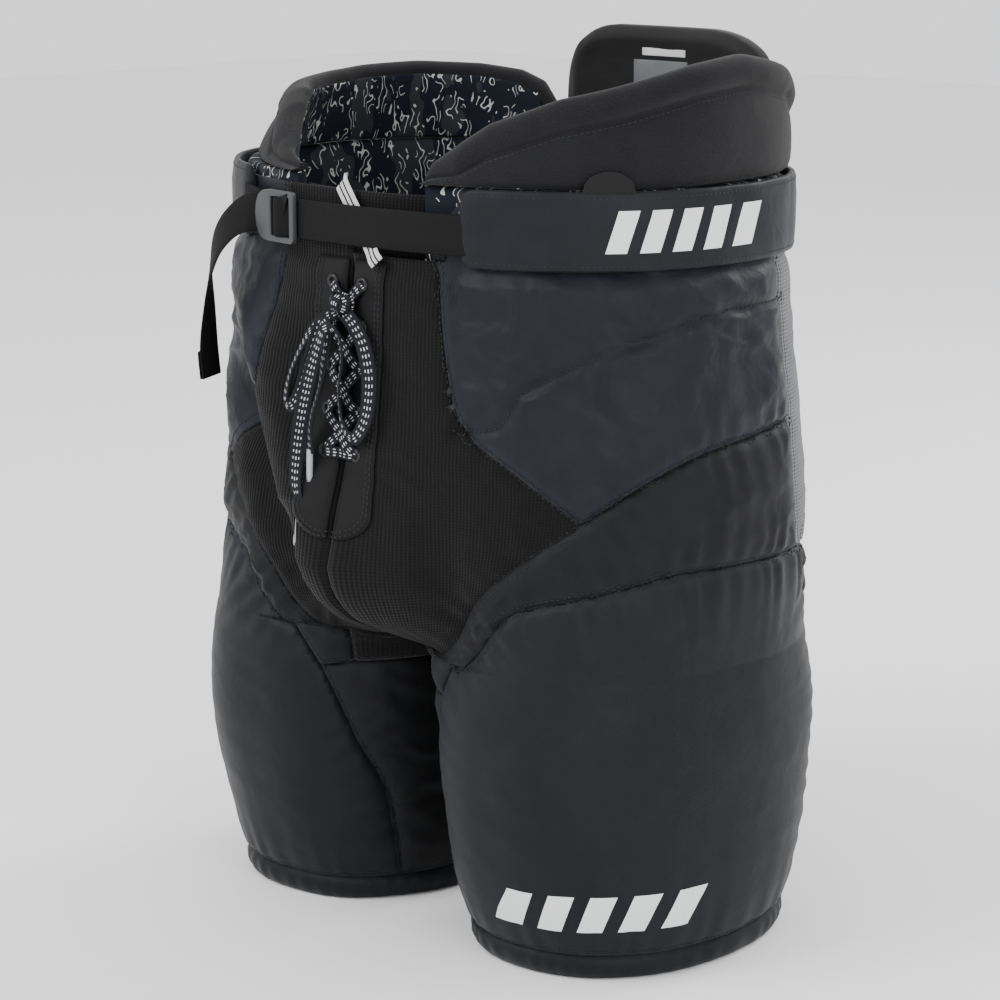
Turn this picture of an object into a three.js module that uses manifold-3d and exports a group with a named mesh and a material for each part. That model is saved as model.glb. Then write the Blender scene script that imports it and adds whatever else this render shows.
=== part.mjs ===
// Ice hockey pants: laced and belted protective shorts with kidney pads and a spine pad.
// Millimetres. +Z is up, the wearer faces -Y and the wearer's left leg is on +X.
// The origin is on the floor, under the middle of the pants, which stand on their two hems.

import * as THREE from "three";
import { mergeVertices } from "three/addons/utils/BufferGeometryUtils.js";
import Module from "manifold-3d";

const wasm = await Module();
wasm.setup();

// ---------------------------------------------------------------- driving sizes

// Heights above the floor
const CROTCH_HEIGHT = 196;
const WAIST_HEIGHT = 447; // underside of the belt covers
const CROTCH_BLEND = 95; // height over which the two legs run together above the crotch
const BELT_COVER_HEIGHT = 48;
const KIDNEY_RISE = 76; // kidney pad above the belt cover, at its highest
const SPINE_RISE = 83; // spine pad above the belt cover

// Half widths (side to side) and half depths (front to back) of the outer fabric
const HEM_HALF_WIDTH = 82;
const THIGH_HALF_WIDTH = 97;
const HEM_HALF_DEPTH = 106;
const THIGH_HALF_DEPTH = 137;
const HIP_HALF_WIDTH = 205;
const HIP_HALF_DEPTH = 150;
const WAIST_HALF_WIDTH = 190;
const WAIST_HALF_DEPTH = 141;
const KNEE_GAP = 52; // between the two hems

// Thicknesses and small sizes
const FABRIC = 2.5;
const GUARD = 3;
const THIGH_FOAM = 11;
const LINER = 1.5;
const HIP_FOAM = 11;
const KIDNEY_FOAM = 12;
const SPINE_FOAM = 13;
const BELT_COVER_PADDING = 4.6;
const HEM_BAND = 16;
const WEBBING_WIDTH = 25;
const WEBBING = 1.6;
const BUCKLE_LENGTH = 41;
const BUCKLE_WIDTH = 33;
const BUCKLE_THICKNESS = 4;
const BUCKLE_BAR = 4;
const BUCKLE_SLOT = 8;
const EYELET_ROWS = 5;
const EYELET_PITCH = 26.5;
const EYELET_SPREAD = 26; // between the two columns
const EYELET_HOLE_RADIUS = 2.3;
const EYELET_BARREL_RADIUS = 2.9;
const EYELET_FLANGE_RADIUS = 4.6;
const EYELET_FLANGE = 1;
const PLACKET = 2;
const PLACKET_WIDTH = 27;
const PLACKET_GAP = 5; // between the plackets' edges
const FLY_LENGTH = 176; // from the belt covers down to the rounded end of the fly
const LACE_WIDTH = 5;
const AGLET_LENGTH = 19;
const AGLET_RADIUS = 2.2;

// Clearances
const TOUCH = 0.3; // between pieces that lie on each other
const LAYER_GAP = 0.5; // between the stacked layers of a padded wall
const SEAM_GAP = 0.4; // between two panels sewn together
const HOLE_CLEARANCE = 0.3;

// ---------------------------------------------------------------- form of the body

const LEG_SQUARENESS = 2.35; // exponent of the leg's rounded-square section
const HIP_SQUARENESS = 2.3;
const BACK_SEAM = 0.09; // how far behind the innermost line the inner back seam runs, in turns
const BACK_SEAM_RUN = 110; // height over which that seam leaves the innermost line
const GAP_CLOSING = 0.7; // exponent by which the gap between the legs closes upwards
const FULL_HIPS = 0.25; // share of the rise over which the hips keep their full size
const TAPER_RUN = 0.82; // share of the rise over which they narrow to the waist
const SLIT = 0.0005; // half the opening between the edges of the leg wrap, in turns
const RISE = WAIST_HEIGHT - CROTCH_HEIGHT;
const COVER_TOP = WAIST_HEIGHT + BELT_COVER_HEIGHT;
const SHELL_TOP = COVER_TOP - 5; // the covers stand above the shell's edge

const clamp01 = (t) => Math.min(1, Math.max(0, t));
const ease = (t) => clamp01(t) ** 2 * (3 - 2 * clamp01(t));
const mix = (a, b, t) => a + (b - a) * t;
const signedPower = (c, power) => Math.sign(c) * Math.abs(c) ** power;
const valueAt = (edge, place) => (typeof edge === "function" ? edge(place) : edge);

// How far a rounded corner falls away over its run, from 0 to almost 1.
const ROUNDEST = 0.95;
const roundOff = (share) => 1 - Math.sqrt(1 - Math.min(clamp01(share) ** 2, ROUNDEST));

// How narrow the hips are at a height: 0 on the hips, 1 at the waist.
const taper = (z) => ease(((z - CROTCH_HEIGHT) / RISE - FULL_HIPS) / TAPER_RUN);
const hipHalfWidth = (z) => mix(HIP_HALF_WIDTH, WAIST_HALF_WIDTH, taper(z));
const hipHalfDepth = (z) => mix(HIP_HALF_DEPTH, WAIST_HALF_DEPTH, taper(z));
const legSwell = (z) => Math.sin((Math.PI / 2) * clamp01(z / CROTCH_HEIGHT));

// A point on the left half's outer surface. Around runs from the inside front, 0, over the
// front, 0.25, the outside, 0.5, and the back, 0.75, to the inside back, 1.
function bodyPoint(around, z) {
  const halfWidth = mix(HEM_HALF_WIDTH, THIGH_HALF_WIDTH, legSwell(z));
  const halfDepth = mix(HEM_HALF_DEPTH, THIGH_HALF_DEPTH, legSwell(z));
  const inside = (KNEE_GAP / 2) * clamp01(1 - z / CROTCH_HEIGHT) ** GAP_CLOSING;
  const legAngle = Math.PI * (1 + 2 * around);
  const legX = inside + halfWidth * (1 + signedPower(Math.cos(legAngle), 2 / LEG_SQUARENESS));
  const legY = halfDepth * signedPower(Math.sin(legAngle), 2 / LEG_SQUARENESS);
  const merged = (1 - (1 - clamp01((z - CROTCH_HEIGHT) / CROTCH_BLEND)) ** 3) ** (1 / 3);
  const hip = waistPoint(around, z, 0);
  return new THREE.Vector3(mix(legX, hip.x, merged), mix(legY, hip.y, merged), z);
}

// A point on the hips or the waist, offset outwards. Turn is 0 at the front, 0.5 on the
// wearer's left, 1 at the back and 1.5, or -0.5, on the wearer's right.
function waistPoint(turn, z, offset) {
  const angle = Math.PI * (turn - 0.5);
  const power = 2 / HIP_SQUARENESS;
  const halfWidth = hipHalfWidth(z);
  const halfDepth = hipHalfDepth(z);
  const outwards = new THREE.Vector3(
    signedPower(Math.cos(angle), 2 - power) / halfWidth,
    signedPower(Math.sin(angle), 2 - power) / halfDepth,
    0,
  ).normalize();
  const x = halfWidth * signedPower(Math.cos(angle), power);
  const y = halfDepth * signedPower(Math.sin(angle), power);
  return new THREE.Vector3(x, y, z).addScaledVector(outwards, offset);
}

// ---------------------------------------------------------------- the left half's lattice

const COLUMNS = 16;
const MERGE_STEPS = [0.45, 0.75, 0.93, 1];
const mergeHeight = (s) => CROTCH_HEIGHT + CROTCH_BLEND * (1 - (1 - s ** 3) ** (1 / 3));
const LEG_ROWS = [0.4, 0.7, 0.93].map((share) => share * CROTCH_HEIGHT);
const HIP_ROWS = [0.6, 0.8, 1].map((share) => CROTCH_HEIGHT + share * RISE);
const HEIGHTS = [
  0, HEM_BAND, ...LEG_ROWS, CROTCH_HEIGHT, ...MERGE_STEPS.map(mergeHeight), ...HIP_ROWS, SHELL_TOP,
];
const CROTCH_ROW = HEIGHTS.indexOf(CROTCH_HEIGHT);
const MERGED_ROW = CROTCH_ROW + MERGE_STEPS.length;
const WAIST_ROW = HEIGHTS.length - 2;
const TOP_ROW = HEIGHTS.length - 1;

// The wrap of a leg opens along its inner back seam, and the hips open at the middle.
const seamShift = (z) => BACK_SEAM * ease((CROTCH_HEIGHT - z) / BACK_SEAM_RUN);
function latticePoint(column, row) {
  const z = HEIGHTS[row];
  const share = column / COLUMNS;
  const open = z < CROTCH_HEIGHT ? mix(SLIT, 1 - SLIT, share) : share;
  return bodyPoint(open - seamShift(z), z);
}

// The direction that faces outwards at a lattice point, from its four neighbours.
function latticeNormal(column, row) {
  const atMiddle = column === 0 || column === COLUMNS;
  if (atMiddle && row === CROTCH_ROW) return new THREE.Vector3(0, 0, -1);
  const wraps = row < CROTCH_ROW;
  const before = column === 0 ? (wraps ? COLUMNS - 1 : 0) : column - 1;
  const after = column === COLUMNS ? (wraps ? 1 : COLUMNS) : column + 1;
  const across = latticePoint(after, row).sub(latticePoint(before, row));
  const lower = latticePoint(column, Math.max(row - 1, 0));
  const up = latticePoint(column, Math.min(row + 1, TOP_ROW)).sub(lower);
  const normal = across.cross(up);
  if (atMiddle && row > CROTCH_ROW) normal.x = 0;
  return normal.normalize();
}

// ---------------------------------------------------------------- making solids

function positionsOnly(geometry) {
  const bare = geometry.clone();
  bare.deleteAttribute("normal");
  bare.deleteAttribute("uv");
  return mergeVertices(bare, 1e-3);
}

function solidOf(geometry) {
  const merged = positionsOnly(geometry);
  const vertProperties = new Float32Array(merged.attributes.position.array);
  const triVerts = new Uint32Array(merged.index.array);
  const solid = new wasm.Manifold(new wasm.Mesh({ numProp: 3, vertProperties, triVerts }));
  return solid.volume() < 0 ? solidOf(reversed(merged)) : solid;
}

function geometryOf(solid) {
  const { vertProperties, triVerts } = solid.getMesh();
  const geometry = new THREE.BufferGeometry();
  geometry.setAttribute("position", new THREE.BufferAttribute(vertProperties, 3));
  geometry.setIndex(new THREE.BufferAttribute(triVerts, 1));
  geometry.computeVertexNormals();
  return geometry;
}

// Turns every face of a geometry round.
function reversed(geometry) {
  const index = geometry.index.array;
  for (let i = 0; i < index.length; i += 3) {
    [index[i + 1], index[i + 2]] = [index[i + 2], index[i + 1]];
  }
  return geometry;
}

// The wearer's right-hand copy of a left-hand piece.
function mirrored(geometry) {
  const copy = geometry.clone();
  const position = copy.attributes.position;
  for (let i = 0; i < position.count; i += 1) position.setX(i, -position.getX(i));
  copy.computeVertexNormals();
  return reversed(copy);
}

// Splits the quads of a box's far faces the same way as the near faces, so that the two
// sides of a thin bent box stay parallel.
function matchDiagonals(box) {
  const index = box.index.array;
  for (const face of [box.groups[1], box.groups[3], box.groups[5]]) {
    for (let i = face.start; i < face.start + face.count; i += 6) {
      const [a, b, d, , c] = index.slice(i, i + 6);
      index.set([a, b, c, a, c, d], i);
    }
  }
}

// A box whose corners (0..1 along, 0..1 up, 0 inner and 1 outer) are moved to where place says.
function shapedBox(columns, rows, place) {
  const geometry = new THREE.BoxGeometry(1, 1, 1, columns, rows, 1);
  matchDiagonals(geometry);
  const position = geometry.attributes.position;
  for (let i = 0; i < position.count; i += 1) {
    const along = position.getX(i) + 0.5;
    const up = position.getY(i) + 0.5;
    const layer = position.getZ(i) + 0.5;
    const point = place(along, up, layer);
    position.setXYZ(i, point.x, point.y, point.z);
  }
  return positionsOnly(geometry);
}

// A layer of the left half between two offsets inwards, on a patch of the lattice.
function bodyLayer({ columns, rows, depth, thickness }) {
  const [firstColumn, lastColumn] = columns;
  const [firstRow, lastRow] = rows;
  return shapedBox(lastColumn - firstColumn, lastRow - firstRow, (along, up, layer) => {
    const column = Math.round(mix(firstColumn, lastColumn, along));
    const row = Math.round(mix(firstRow, lastRow, up));
    const inwards = depth + (1 - layer) * thickness;
    const point = latticePoint(column, row);
    point.addScaledVector(latticeNormal(column, row), -inwards);
    point.x = Math.max(point.x, SEAM_GAP / 2);
    if (row === 0) point.z = 0; // the hems stand flat on the floor
    return point;
  });
}

// A point on the waist's facets, which break at the lattice's columns.
function facetPoint(turn, z, offset) {
  const column = Math.floor(turn * COLUMNS + 1e-6);
  const start = waistPoint(column / COLUMNS, z, offset);
  return start.lerp(waistPoint((column + 1) / COLUMNS, z, offset), turn * COLUMNS - column);
}

// A pad that follows the waist between two turns, with its foot and its head given as
// heights or as functions of the turn. Its facets break where the lattice's do.
function waistPad({ from, to, foot, head, rows = 1, offset, thickness }) {
  const turns = [from];
  for (let column = Math.ceil(from * COLUMNS + 0.01); column / COLUMNS < to - 0.001; column += 1) {
    turns.push(column / COLUMNS);
  }
  turns.push(to);
  return shapedBox(turns.length - 1, rows, (along, up, layer) => {
    const turn = turns[Math.round(along * (turns.length - 1))];
    const z = mix(valueAt(foot, turn), valueAt(head, turn), up);
    return facetPoint(turn, z, offset + layer * thickness);
  });
}

// A flat-backed strip on the front, between two widths and two heights.
const STRIP_STEP = 12;
function frontStrip({ left, right, foot, head, rows, offset, thickness }) {
  const steps = Math.max(2, Math.round((right - left) / STRIP_STEP));
  return shapedBox(steps, rows, (along, up, layer) => {
    const x = mix(left, right, along);
    const z = mix(valueAt(foot, x), head, up);
    return new THREE.Vector3(x, frontAt(x, z) - offset - layer * thickness, z);
  });
}

// How far forward the two middle facets of the front lie.
function frontAt(x, z) {
  const corner = waistPoint(1 / COLUMNS, z, 0);
  return mix(-hipHalfDepth(z), corner.y, Math.abs(x) / corner.x);
}

// ---------------------------------------------------------------- the sewn panels

// Seams of the left half as [around, share of the rise above the crotch].
const CHEVRON_CORNER = [0.268, 0.394];
const THIGH_CORNER = [0.188, 0.02];
const GUSSET_CORNER = [0.165, -0.1];
const SIDE_LINE = 0.63;
const BACK_LINE = 0.8;
const SEAMS = {
  frontEdge: [[0.085, 1.3], [0.107, 0.797], [0.128, 0.614], [0.195, 0.502], CHEVRON_CORNER],
  groin: [CHEVRON_CORNER, [0.21, 0.295], [0.155, 0.171], [0.135, 0.04], [0.13, -0.09]],
  chevron: [CHEVRON_CORNER, [0.338, 0.478], [0.422, 0.542], [0.54, 0.578], [SIDE_LINE, 0.585]],
  thighTop: [
    THIGH_CORNER, [0.208, 0.135], [0.242, 0.18], [0.34, 0.235], [0.42, 0.262], [0.54, 0.255],
    [SIDE_LINE, 0.247], [0.72, 0.22], [BACK_LINE, 0.16], [0.87, 0.02], [0.93, -0.07],
    [0.985, -0.1],
  ],
  thighInside: [THIGH_CORNER, GUSSET_CORNER, [0.135, -0.3], [0.1, -0.5], [0.09, -0.76]],
  gusset: [GUSSET_CORNER, [0.13, -0.09], [0.06, -0.09], [-0.015, -0.1]],
  sideFront: [[SIDE_LINE + 0.01, 1.3], [SIDE_LINE - 0.01, 0.6], [SIDE_LINE, 0.247]],
  sideBack: [[BACK_LINE, 1.3], [BACK_LINE, 0.6], [BACK_LINE, 0.16]],
  outseam: [[SIDE_LINE, 0.247], [SIDE_LINE, 0], [SIDE_LINE, -0.4], [SIDE_LINE, -0.76]],
};

// One inside point of each panel, in the same terms.
const PANELS = {
  crotch_panel: [0.08, 0.45],
  hip_panel: [0.42, 0.8],
  mid_panel: [0.42, 0.4],
  thigh_panel: [0.42, -0.35],
  side_mesh: [0.72, 0.6],
  seat_panel: [0.9, 0.6],
  back_leg_panel: [0.76, -0.35],
  inner_thigh: [0, -0.45],
};

const seamHeight = (share) => CROTCH_HEIGHT + share * RISE;
const SEAM_UNIT = 600; // makes turns as long as millimetres when a seam is curved
const BLADE_REACH = 14;
const BLADE_OVERRUN = 3;
const BLADE_STEP = 32;

// A thin blade that stands on the surface along a seam and goes through the fabric.
function seamBlade(seam) {
  const knots = seam.map(([around, share]) => {
    return new THREE.Vector3(around * SEAM_UNIT, seamHeight(share), 0);
  });
  const curve = new THREE.CatmullRomCurve3(knots);
  const steps = Math.max(2, Math.round(curve.getLength() / BLADE_STEP));
  const spots = curve.getSpacedPoints(steps).map((p) => bodyPoint(p.x / SEAM_UNIT, p.y));
  const lengthen = (end, next) => {
    return end.addScaledVector(end.clone().sub(next).normalize(), BLADE_OVERRUN);
  };
  lengthen(spots[0], spots[1]);
  lengthen(spots[steps], spots[steps - 1]);
  return solidOf(shapedBox(steps, 1, (along, up, layer) => {
    const step = Math.round(along * steps);
    const spot = spots[step];
    const tangent = spots[Math.min(step + 1, steps)].clone().sub(spots[Math.max(step - 1, 0)]);
    const axis = new THREE.Vector3(THIGH_HALF_WIDTH, 0, spot.z);
    const outwards = spot.clone().sub(axis).normalize();
    const sideways = outwards.clone().cross(tangent).normalize();
    const point = spot.clone().addScaledVector(sideways, (up - 0.5) * SEAM_GAP);
    return point.addScaledVector(outwards, (layer - 0.5) * 2 * BLADE_REACH);
  }));
}

// The level cut that parts the hem band from the leg.
function levelBlade(z) {
  const slab = new THREE.BoxGeometry(3 * HIP_HALF_WIDTH, 3 * HIP_HALF_DEPTH, SEAM_GAP);
  return solidOf(slab.translate(HIP_HALF_WIDTH, 0, z));
}

// The opening of the fly, which the plackets border.
const FLY_FOOT = WAIST_HEIGHT - FLY_LENGTH;
const FLY_SLOT_HALF_WIDTH = 18;
const FLY_SLOT_RAISE = 12; // above the plackets' rounded end
function flySlot() {
  const height = 2 * FLY_LENGTH;
  const slot = new THREE.BoxGeometry(2 * FLY_SLOT_HALF_WIDTH, HIP_HALF_DEPTH, height);
  return solidOf(slot.translate(0, -HIP_HALF_DEPTH, FLY_FOOT + FLY_SLOT_RAISE + height / 2));
}

function makePanels() {
  const whole = bodyLayer({
    columns: [0, COLUMNS], rows: [0, TOP_ROW], depth: 0, thickness: FABRIC,
  });
  let fabric = solidOf(whole);
  for (const seam of Object.values(SEAMS)) fabric = fabric.subtract(seamBlade(seam));
  fabric = fabric.subtract(levelBlade(HEM_BAND)).subtract(flySlot());
  const pieces = fabric.decompose().map(geometryOf);
  const panels = {};
  for (const [name, [around, share]] of Object.entries(PANELS)) {
    panels[name] = nearest(pieces, bodyPoint(around, seamHeight(share)));
  }
  panels.hem_band = nearest(pieces, bodyPoint(0.42, 0));
  return panels;
}

// The geometry that has a vertex closest to a point.
function nearest(geometries, point) {
  const vertex = new THREE.Vector3();
  const distance = (geometry) => {
    const position = geometry.attributes.position;
    let least = Infinity;
    for (let i = 0; i < position.count; i += 1) {
      least = Math.min(least, vertex.fromBufferAttribute(position, i).distanceTo(point));
    }
    return least;
  };
  const distances = geometries.map(distance);
  return geometries[distances.indexOf(Math.min(...distances))];
}

// ---------------------------------------------------------------- padding and guards

const GUARD_DEPTH = FABRIC + LAYER_GAP;
const FOAM_DEPTH = GUARD_DEPTH + GUARD + LAYER_GAP;
const LINER_DEPTH = FOAM_DEPTH + THIGH_FOAM + LAYER_GAP;

const thighGuard = () => bodyLayer({
  columns: [5, 11], rows: [2, CROTCH_ROW - 1], depth: GUARD_DEPTH, thickness: GUARD,
});
const thighFoam = () => bodyLayer({
  columns: [4, 12], rows: [1, CROTCH_ROW - 1], depth: FOAM_DEPTH, thickness: THIGH_FOAM,
});
const legLiner = () => bodyLayer({
  columns: [0, COLUMNS], rows: [1, CROTCH_ROW - 2], depth: LINER_DEPTH, thickness: LINER,
});
const hipGuard = () => bodyLayer({
  columns: [6, 10], rows: [MERGED_ROW + 1, WAIST_ROW - 1], depth: GUARD_DEPTH, thickness: GUARD,
});
const hipFoam = () => bodyLayer({
  columns: [5, 11], rows: [MERGED_ROW, WAIST_ROW], depth: FOAM_DEPTH, thickness: HIP_FOAM,
});

// ---------------------------------------------------------------- kidney and spine pads

const KIDNEY_FRONT = 0.08; // turns
const KIDNEY_BACK_LEFT = 0.82; // beside the spine pad
const KIDNEY_BACK_RIGHT = 0.885;
const KIDNEY_SPAN = KIDNEY_BACK_RIGHT - KIDNEY_FRONT;
const KIDNEY_FOOT = COVER_TOP + TOUCH;
const KIDNEY_FULLNESS = 0.55; // how quickly the top line rises from its ends
const KIDNEY_ARCH = [0.03, 0.92]; // the part of a half wave that the top line follows

function kidneyTop(turn) {
  const share = clamp01((turn - KIDNEY_FRONT) / KIDNEY_SPAN);
  const arch = Math.sin(Math.PI * mix(...KIDNEY_ARCH, share)) ** KIDNEY_FULLNESS;
  return KIDNEY_FOOT + (KIDNEY_RISE - TOUCH) * arch;
}

const kidneyPad = (back) => waistPad({
  from: KIDNEY_FRONT, to: back, rows: 2,
  foot: KIDNEY_FOOT, head: kidneyTop, offset: -KIDNEY_FOAM, thickness: KIDNEY_FOAM,
});

// The fixed foot of the kidney pad, inside the shell behind the belt cover.
const kidneyBase = (back) => waistPad({
  from: KIDNEY_FRONT, to: back, rows: 1,
  foot: WAIST_HEIGHT + 2 * TOUCH, head: COVER_TOP - TOUCH,
  offset: -FABRIC - LAYER_GAP - KIDNEY_FOAM, thickness: KIDNEY_FOAM,
});

const SPINE_CENTRE = 0.965; // turns: the pad hangs a little to the wearer's left
const SPINE_HALF_SPAN = 0.14;
const SPINE_FOOT = COVER_TOP + 2 * TOUCH;
const SPINE_CORNER = 0.32; // share of the half span over which the top corners round off
const SPINE_CORNER_DROP = 33; // how far the rounded corners fall

function spineTop(turn) {
  const aside = Math.abs(turn - SPINE_CENTRE) / SPINE_HALF_SPAN;
  const corner = (aside - 1 + SPINE_CORNER) / SPINE_CORNER;
  return COVER_TOP + SPINE_RISE - SPINE_CORNER_DROP * roundOff(corner);
}

const spinePad = () => waistPad({
  from: SPINE_CENTRE - SPINE_HALF_SPAN, to: SPINE_CENTRE + SPINE_HALF_SPAN, rows: 2,
  foot: SPINE_FOOT, head: spineTop, offset: LAYER_GAP, thickness: SPINE_FOAM,
});

// The tailbone pad inside the seat, which carries the foot of the spine pad.
const TAIL_PAD_HEIGHT = 110;
const TAIL_PAD_HALF_SPAN = 0.1; // turns
const tailPad = () => waistPad({
  from: 1 - TAIL_PAD_HALF_SPAN, to: 1 + TAIL_PAD_HALF_SPAN, rows: 2,
  foot: WAIST_HEIGHT - TAIL_PAD_HEIGHT, head: WAIST_HEIGHT - TOUCH,
  offset: -FABRIC - LAYER_GAP - HIP_FOAM, thickness: HIP_FOAM,
});

const TAG = 0.8;
const TAG_HEIGHT = 28;
const TAG_FOOT = COVER_TOP + 30;
const TAG_SPAN = [0.955, 1.015]; // turns
const sizeTag = () => waistPad({
  from: TAG_SPAN[0], to: TAG_SPAN[1], foot: TAG_FOOT, head: TAG_FOOT + TAG_HEIGHT,
  offset: LAYER_GAP - TOUCH - TAG, thickness: TAG,
});

// ---------------------------------------------------------------- belt

const COVER_FRONT_LEFT = 0.13; // turns
const COVER_FRONT_RIGHT = 0.168;
const COVER_BACK = 0.93;
const COVER_OFFSET = LAYER_GAP;
const BELT_RAISE = 20; // the webbing's middle line above the covers' underside
const BELT_MIDDLE = WAIST_HEIGHT + BELT_RAISE;
const BELT_OFFSET = 4;
const BELT_TUCK = 0.001; // turns between the webbing's sewn end and the cover
const BUCKLE_TURN = -0.093;
const BUCKLE_HALF_TURN = 0.047; // half the buckle's length, in turns

const beltCover = (front) => waistPad({
  from: front, to: COVER_BACK, rows: 1,
  foot: WAIST_HEIGHT + TOUCH, head: COVER_TOP, offset: COVER_OFFSET, thickness: BELT_COVER_PADDING,
});

// Webbing from the left cover's end to the buckle, behind which it runs.
const beltStrap = () => waistPad({
  from: BUCKLE_TURN, to: COVER_FRONT_LEFT - BELT_TUCK,
  foot: BELT_MIDDLE - WEBBING_WIDTH / 2, head: BELT_MIDDLE + WEBBING_WIDTH / 2,
  offset: BELT_OFFSET, thickness: WEBBING,
});

// Webbing that narrows from the right cover's end to the buckle.
const ANCHOR_WIDTHS = [21, 33]; // at the buckle and at the cover
const beltAnchor = () => waistPad({
  from: -COVER_FRONT_RIGHT + BELT_TUCK, to: BUCKLE_TURN - 4 * BELT_TUCK,
  foot: (turn) => BELT_MIDDLE - anchorWidth(turn) / 2,
  head: (turn) => BELT_MIDDLE + anchorWidth(turn) / 2,
  offset: BELT_OFFSET, thickness: WEBBING,
});
function anchorWidth(turn) {
  return mix(...ANCHOR_WIDTHS, (BUCKLE_TURN - turn) / (BUCKLE_TURN + COVER_FRONT_RIGHT));
}

// A ladder buckle: a frame with one round end and two slots, parted by a cross bar.
const BUCKLE_ROUND_END = 14.5;
const ROUND_STEPS = 4;
function buckleFrame() {
  const halfWidth = BUCKLE_WIDTH / 2;
  const rim = new THREE.Path();
  rim.moveTo(BUCKLE_LENGTH, -halfWidth + BUCKLE_BAR);
  rim.lineTo(BUCKLE_LENGTH, halfWidth - BUCKLE_BAR);
  rim.quadraticCurveTo(BUCKLE_LENGTH, halfWidth, BUCKLE_LENGTH - BUCKLE_BAR, halfWidth);
  rim.lineTo(BUCKLE_ROUND_END, halfWidth);
  rim.quadraticCurveTo(0, halfWidth, 0, 0);
  rim.quadraticCurveTo(0, -halfWidth, BUCKLE_ROUND_END, -halfWidth);
  rim.lineTo(BUCKLE_LENGTH - BUCKLE_BAR, -halfWidth);
  rim.quadraticCurveTo(BUCKLE_LENGTH, -halfWidth, BUCKLE_LENGTH, -halfWidth + BUCKLE_BAR);
  const outline = new THREE.Shape(rim.getPoints(ROUND_STEPS).slice(1));
  let frame = solidOf(new THREE.ExtrudeGeometry(outline, {
    depth: BUCKLE_THICKNESS, bevelEnabled: false,
  }));
  for (const order of [1, 2]) {
    const middle = BUCKLE_LENGTH - order * (BUCKLE_BAR + BUCKLE_SLOT) + BUCKLE_SLOT / 2;
    const height = BUCKLE_WIDTH - 2 * BUCKLE_BAR;
    const slot = new THREE.BoxGeometry(BUCKLE_SLOT, height, 3 * BUCKLE_THICKNESS);
    frame = frame.subtract(solidOf(slot.translate(middle, 0, 0)));
  }
  return geometryOf(frame);
}

const BUCKLE_OFFSET = BELT_OFFSET + WEBBING + 3 * TOUCH;
function placedBuckle() {
  const middle = waistPoint(BUCKLE_TURN, BELT_MIDDLE, BUCKLE_OFFSET);
  const ahead = waistPoint(BUCKLE_TURN + BUCKLE_HALF_TURN, BELT_MIDDLE, BUCKLE_OFFSET);
  const heading = Math.atan2(ahead.y - middle.y, ahead.x - middle.x);
  const frame = buckleFrame();
  frame.rotateX(Math.PI / 2);
  frame.translate(-BUCKLE_LENGTH / 2, 0, 0);
  frame.rotateZ(heading);
  return frame.translate(middle.x, middle.y, BELT_MIDDLE);
}

// The loose end of the webbing: it leaves the buckle and hangs down beside the hip.
const TAIL_ROUTE = [
  [-80, -146.3, 469], [-92, -147, 466], [-105, -148, 459], [-119, -147, 444], [-130, -143, 422],
  [-138, -138, 398], [-142, -135, 374], [-141, -134, 352],
];
const TAIL_FACING = new THREE.Vector3(-0.45, -0.89, 0);
const TAIL_TWIST = 0.5; // radians by which the webbing turns on its way down
const tailCurve = new THREE.CatmullRomCurve3(TAIL_ROUTE.map((p) => new THREE.Vector3(...p)));
const TAIL_STEPS = 12;

function beltTail() {
  return shapedBox(TAIL_STEPS, 1, (along, up, layer) => {
    const centre = tailCurve.getPoint(along);
    const tangent = tailCurve.getTangent(along);
    const across = tangent.clone().cross(TAIL_FACING).normalize();
    across.applyAxisAngle(tangent, TAIL_TWIST * along);
    const outwards = across.clone().cross(tangent).normalize();
    centre.addScaledVector(across, (0.5 - up) * WEBBING_WIDTH);
    return centre.addScaledVector(outwards, (layer - 0.5) * WEBBING);
  });
}

// ---------------------------------------------------------------- fly and lacing

const PLACKET_OFFSET = 2 * TOUCH;
const EYELET_FOOT = FLY_FOOT + 54; // the lowest row
const EYELET_SEAT = PLACKET_OFFSET + PLACKET;
const EYELET_REST = 2 * TOUCH; // the placket leans, so a flange that stands upright keeps this
const EYELET_LIP = 0.8; // by how much the rolled edges narrow
const FLY_ROUNDING = 20;
const HOLE_DEPTH = 30;

// The height of eyelet row number row, counted from the bottom.
const eyeletHeight = (row) => EYELET_FOOT + row * EYELET_PITCH;

const roundedFoot = (x) => {
  return FLY_FOOT + FLY_ROUNDING * roundOff(Math.abs(x) / (PLACKET_GAP / 2 + PLACKET_WIDTH));
};

function flyPlacket() {
  const inner = PLACKET_GAP / 2;
  const holeRadius = EYELET_BARREL_RADIUS + HOLE_CLEARANCE;
  let placket = solidOf(frontStrip({
    left: inner, right: inner + PLACKET_WIDTH, foot: roundedFoot, rows: 6,
    head: WAIST_HEIGHT - PLACKET, offset: PLACKET_OFFSET, thickness: PLACKET,
  }));
  for (let row = 0; row < EYELET_ROWS; row += 1) {
    const hole = new THREE.CylinderGeometry(holeRadius, holeRadius, HOLE_DEPTH, 10);
    const z = eyeletHeight(row);
    hole.translate(EYELET_SPREAD / 2, frontAt(EYELET_SPREAD / 2, z), z);
    placket = placket.subtract(solidOf(hole));
  }
  return geometryOf(placket);
}

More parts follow.
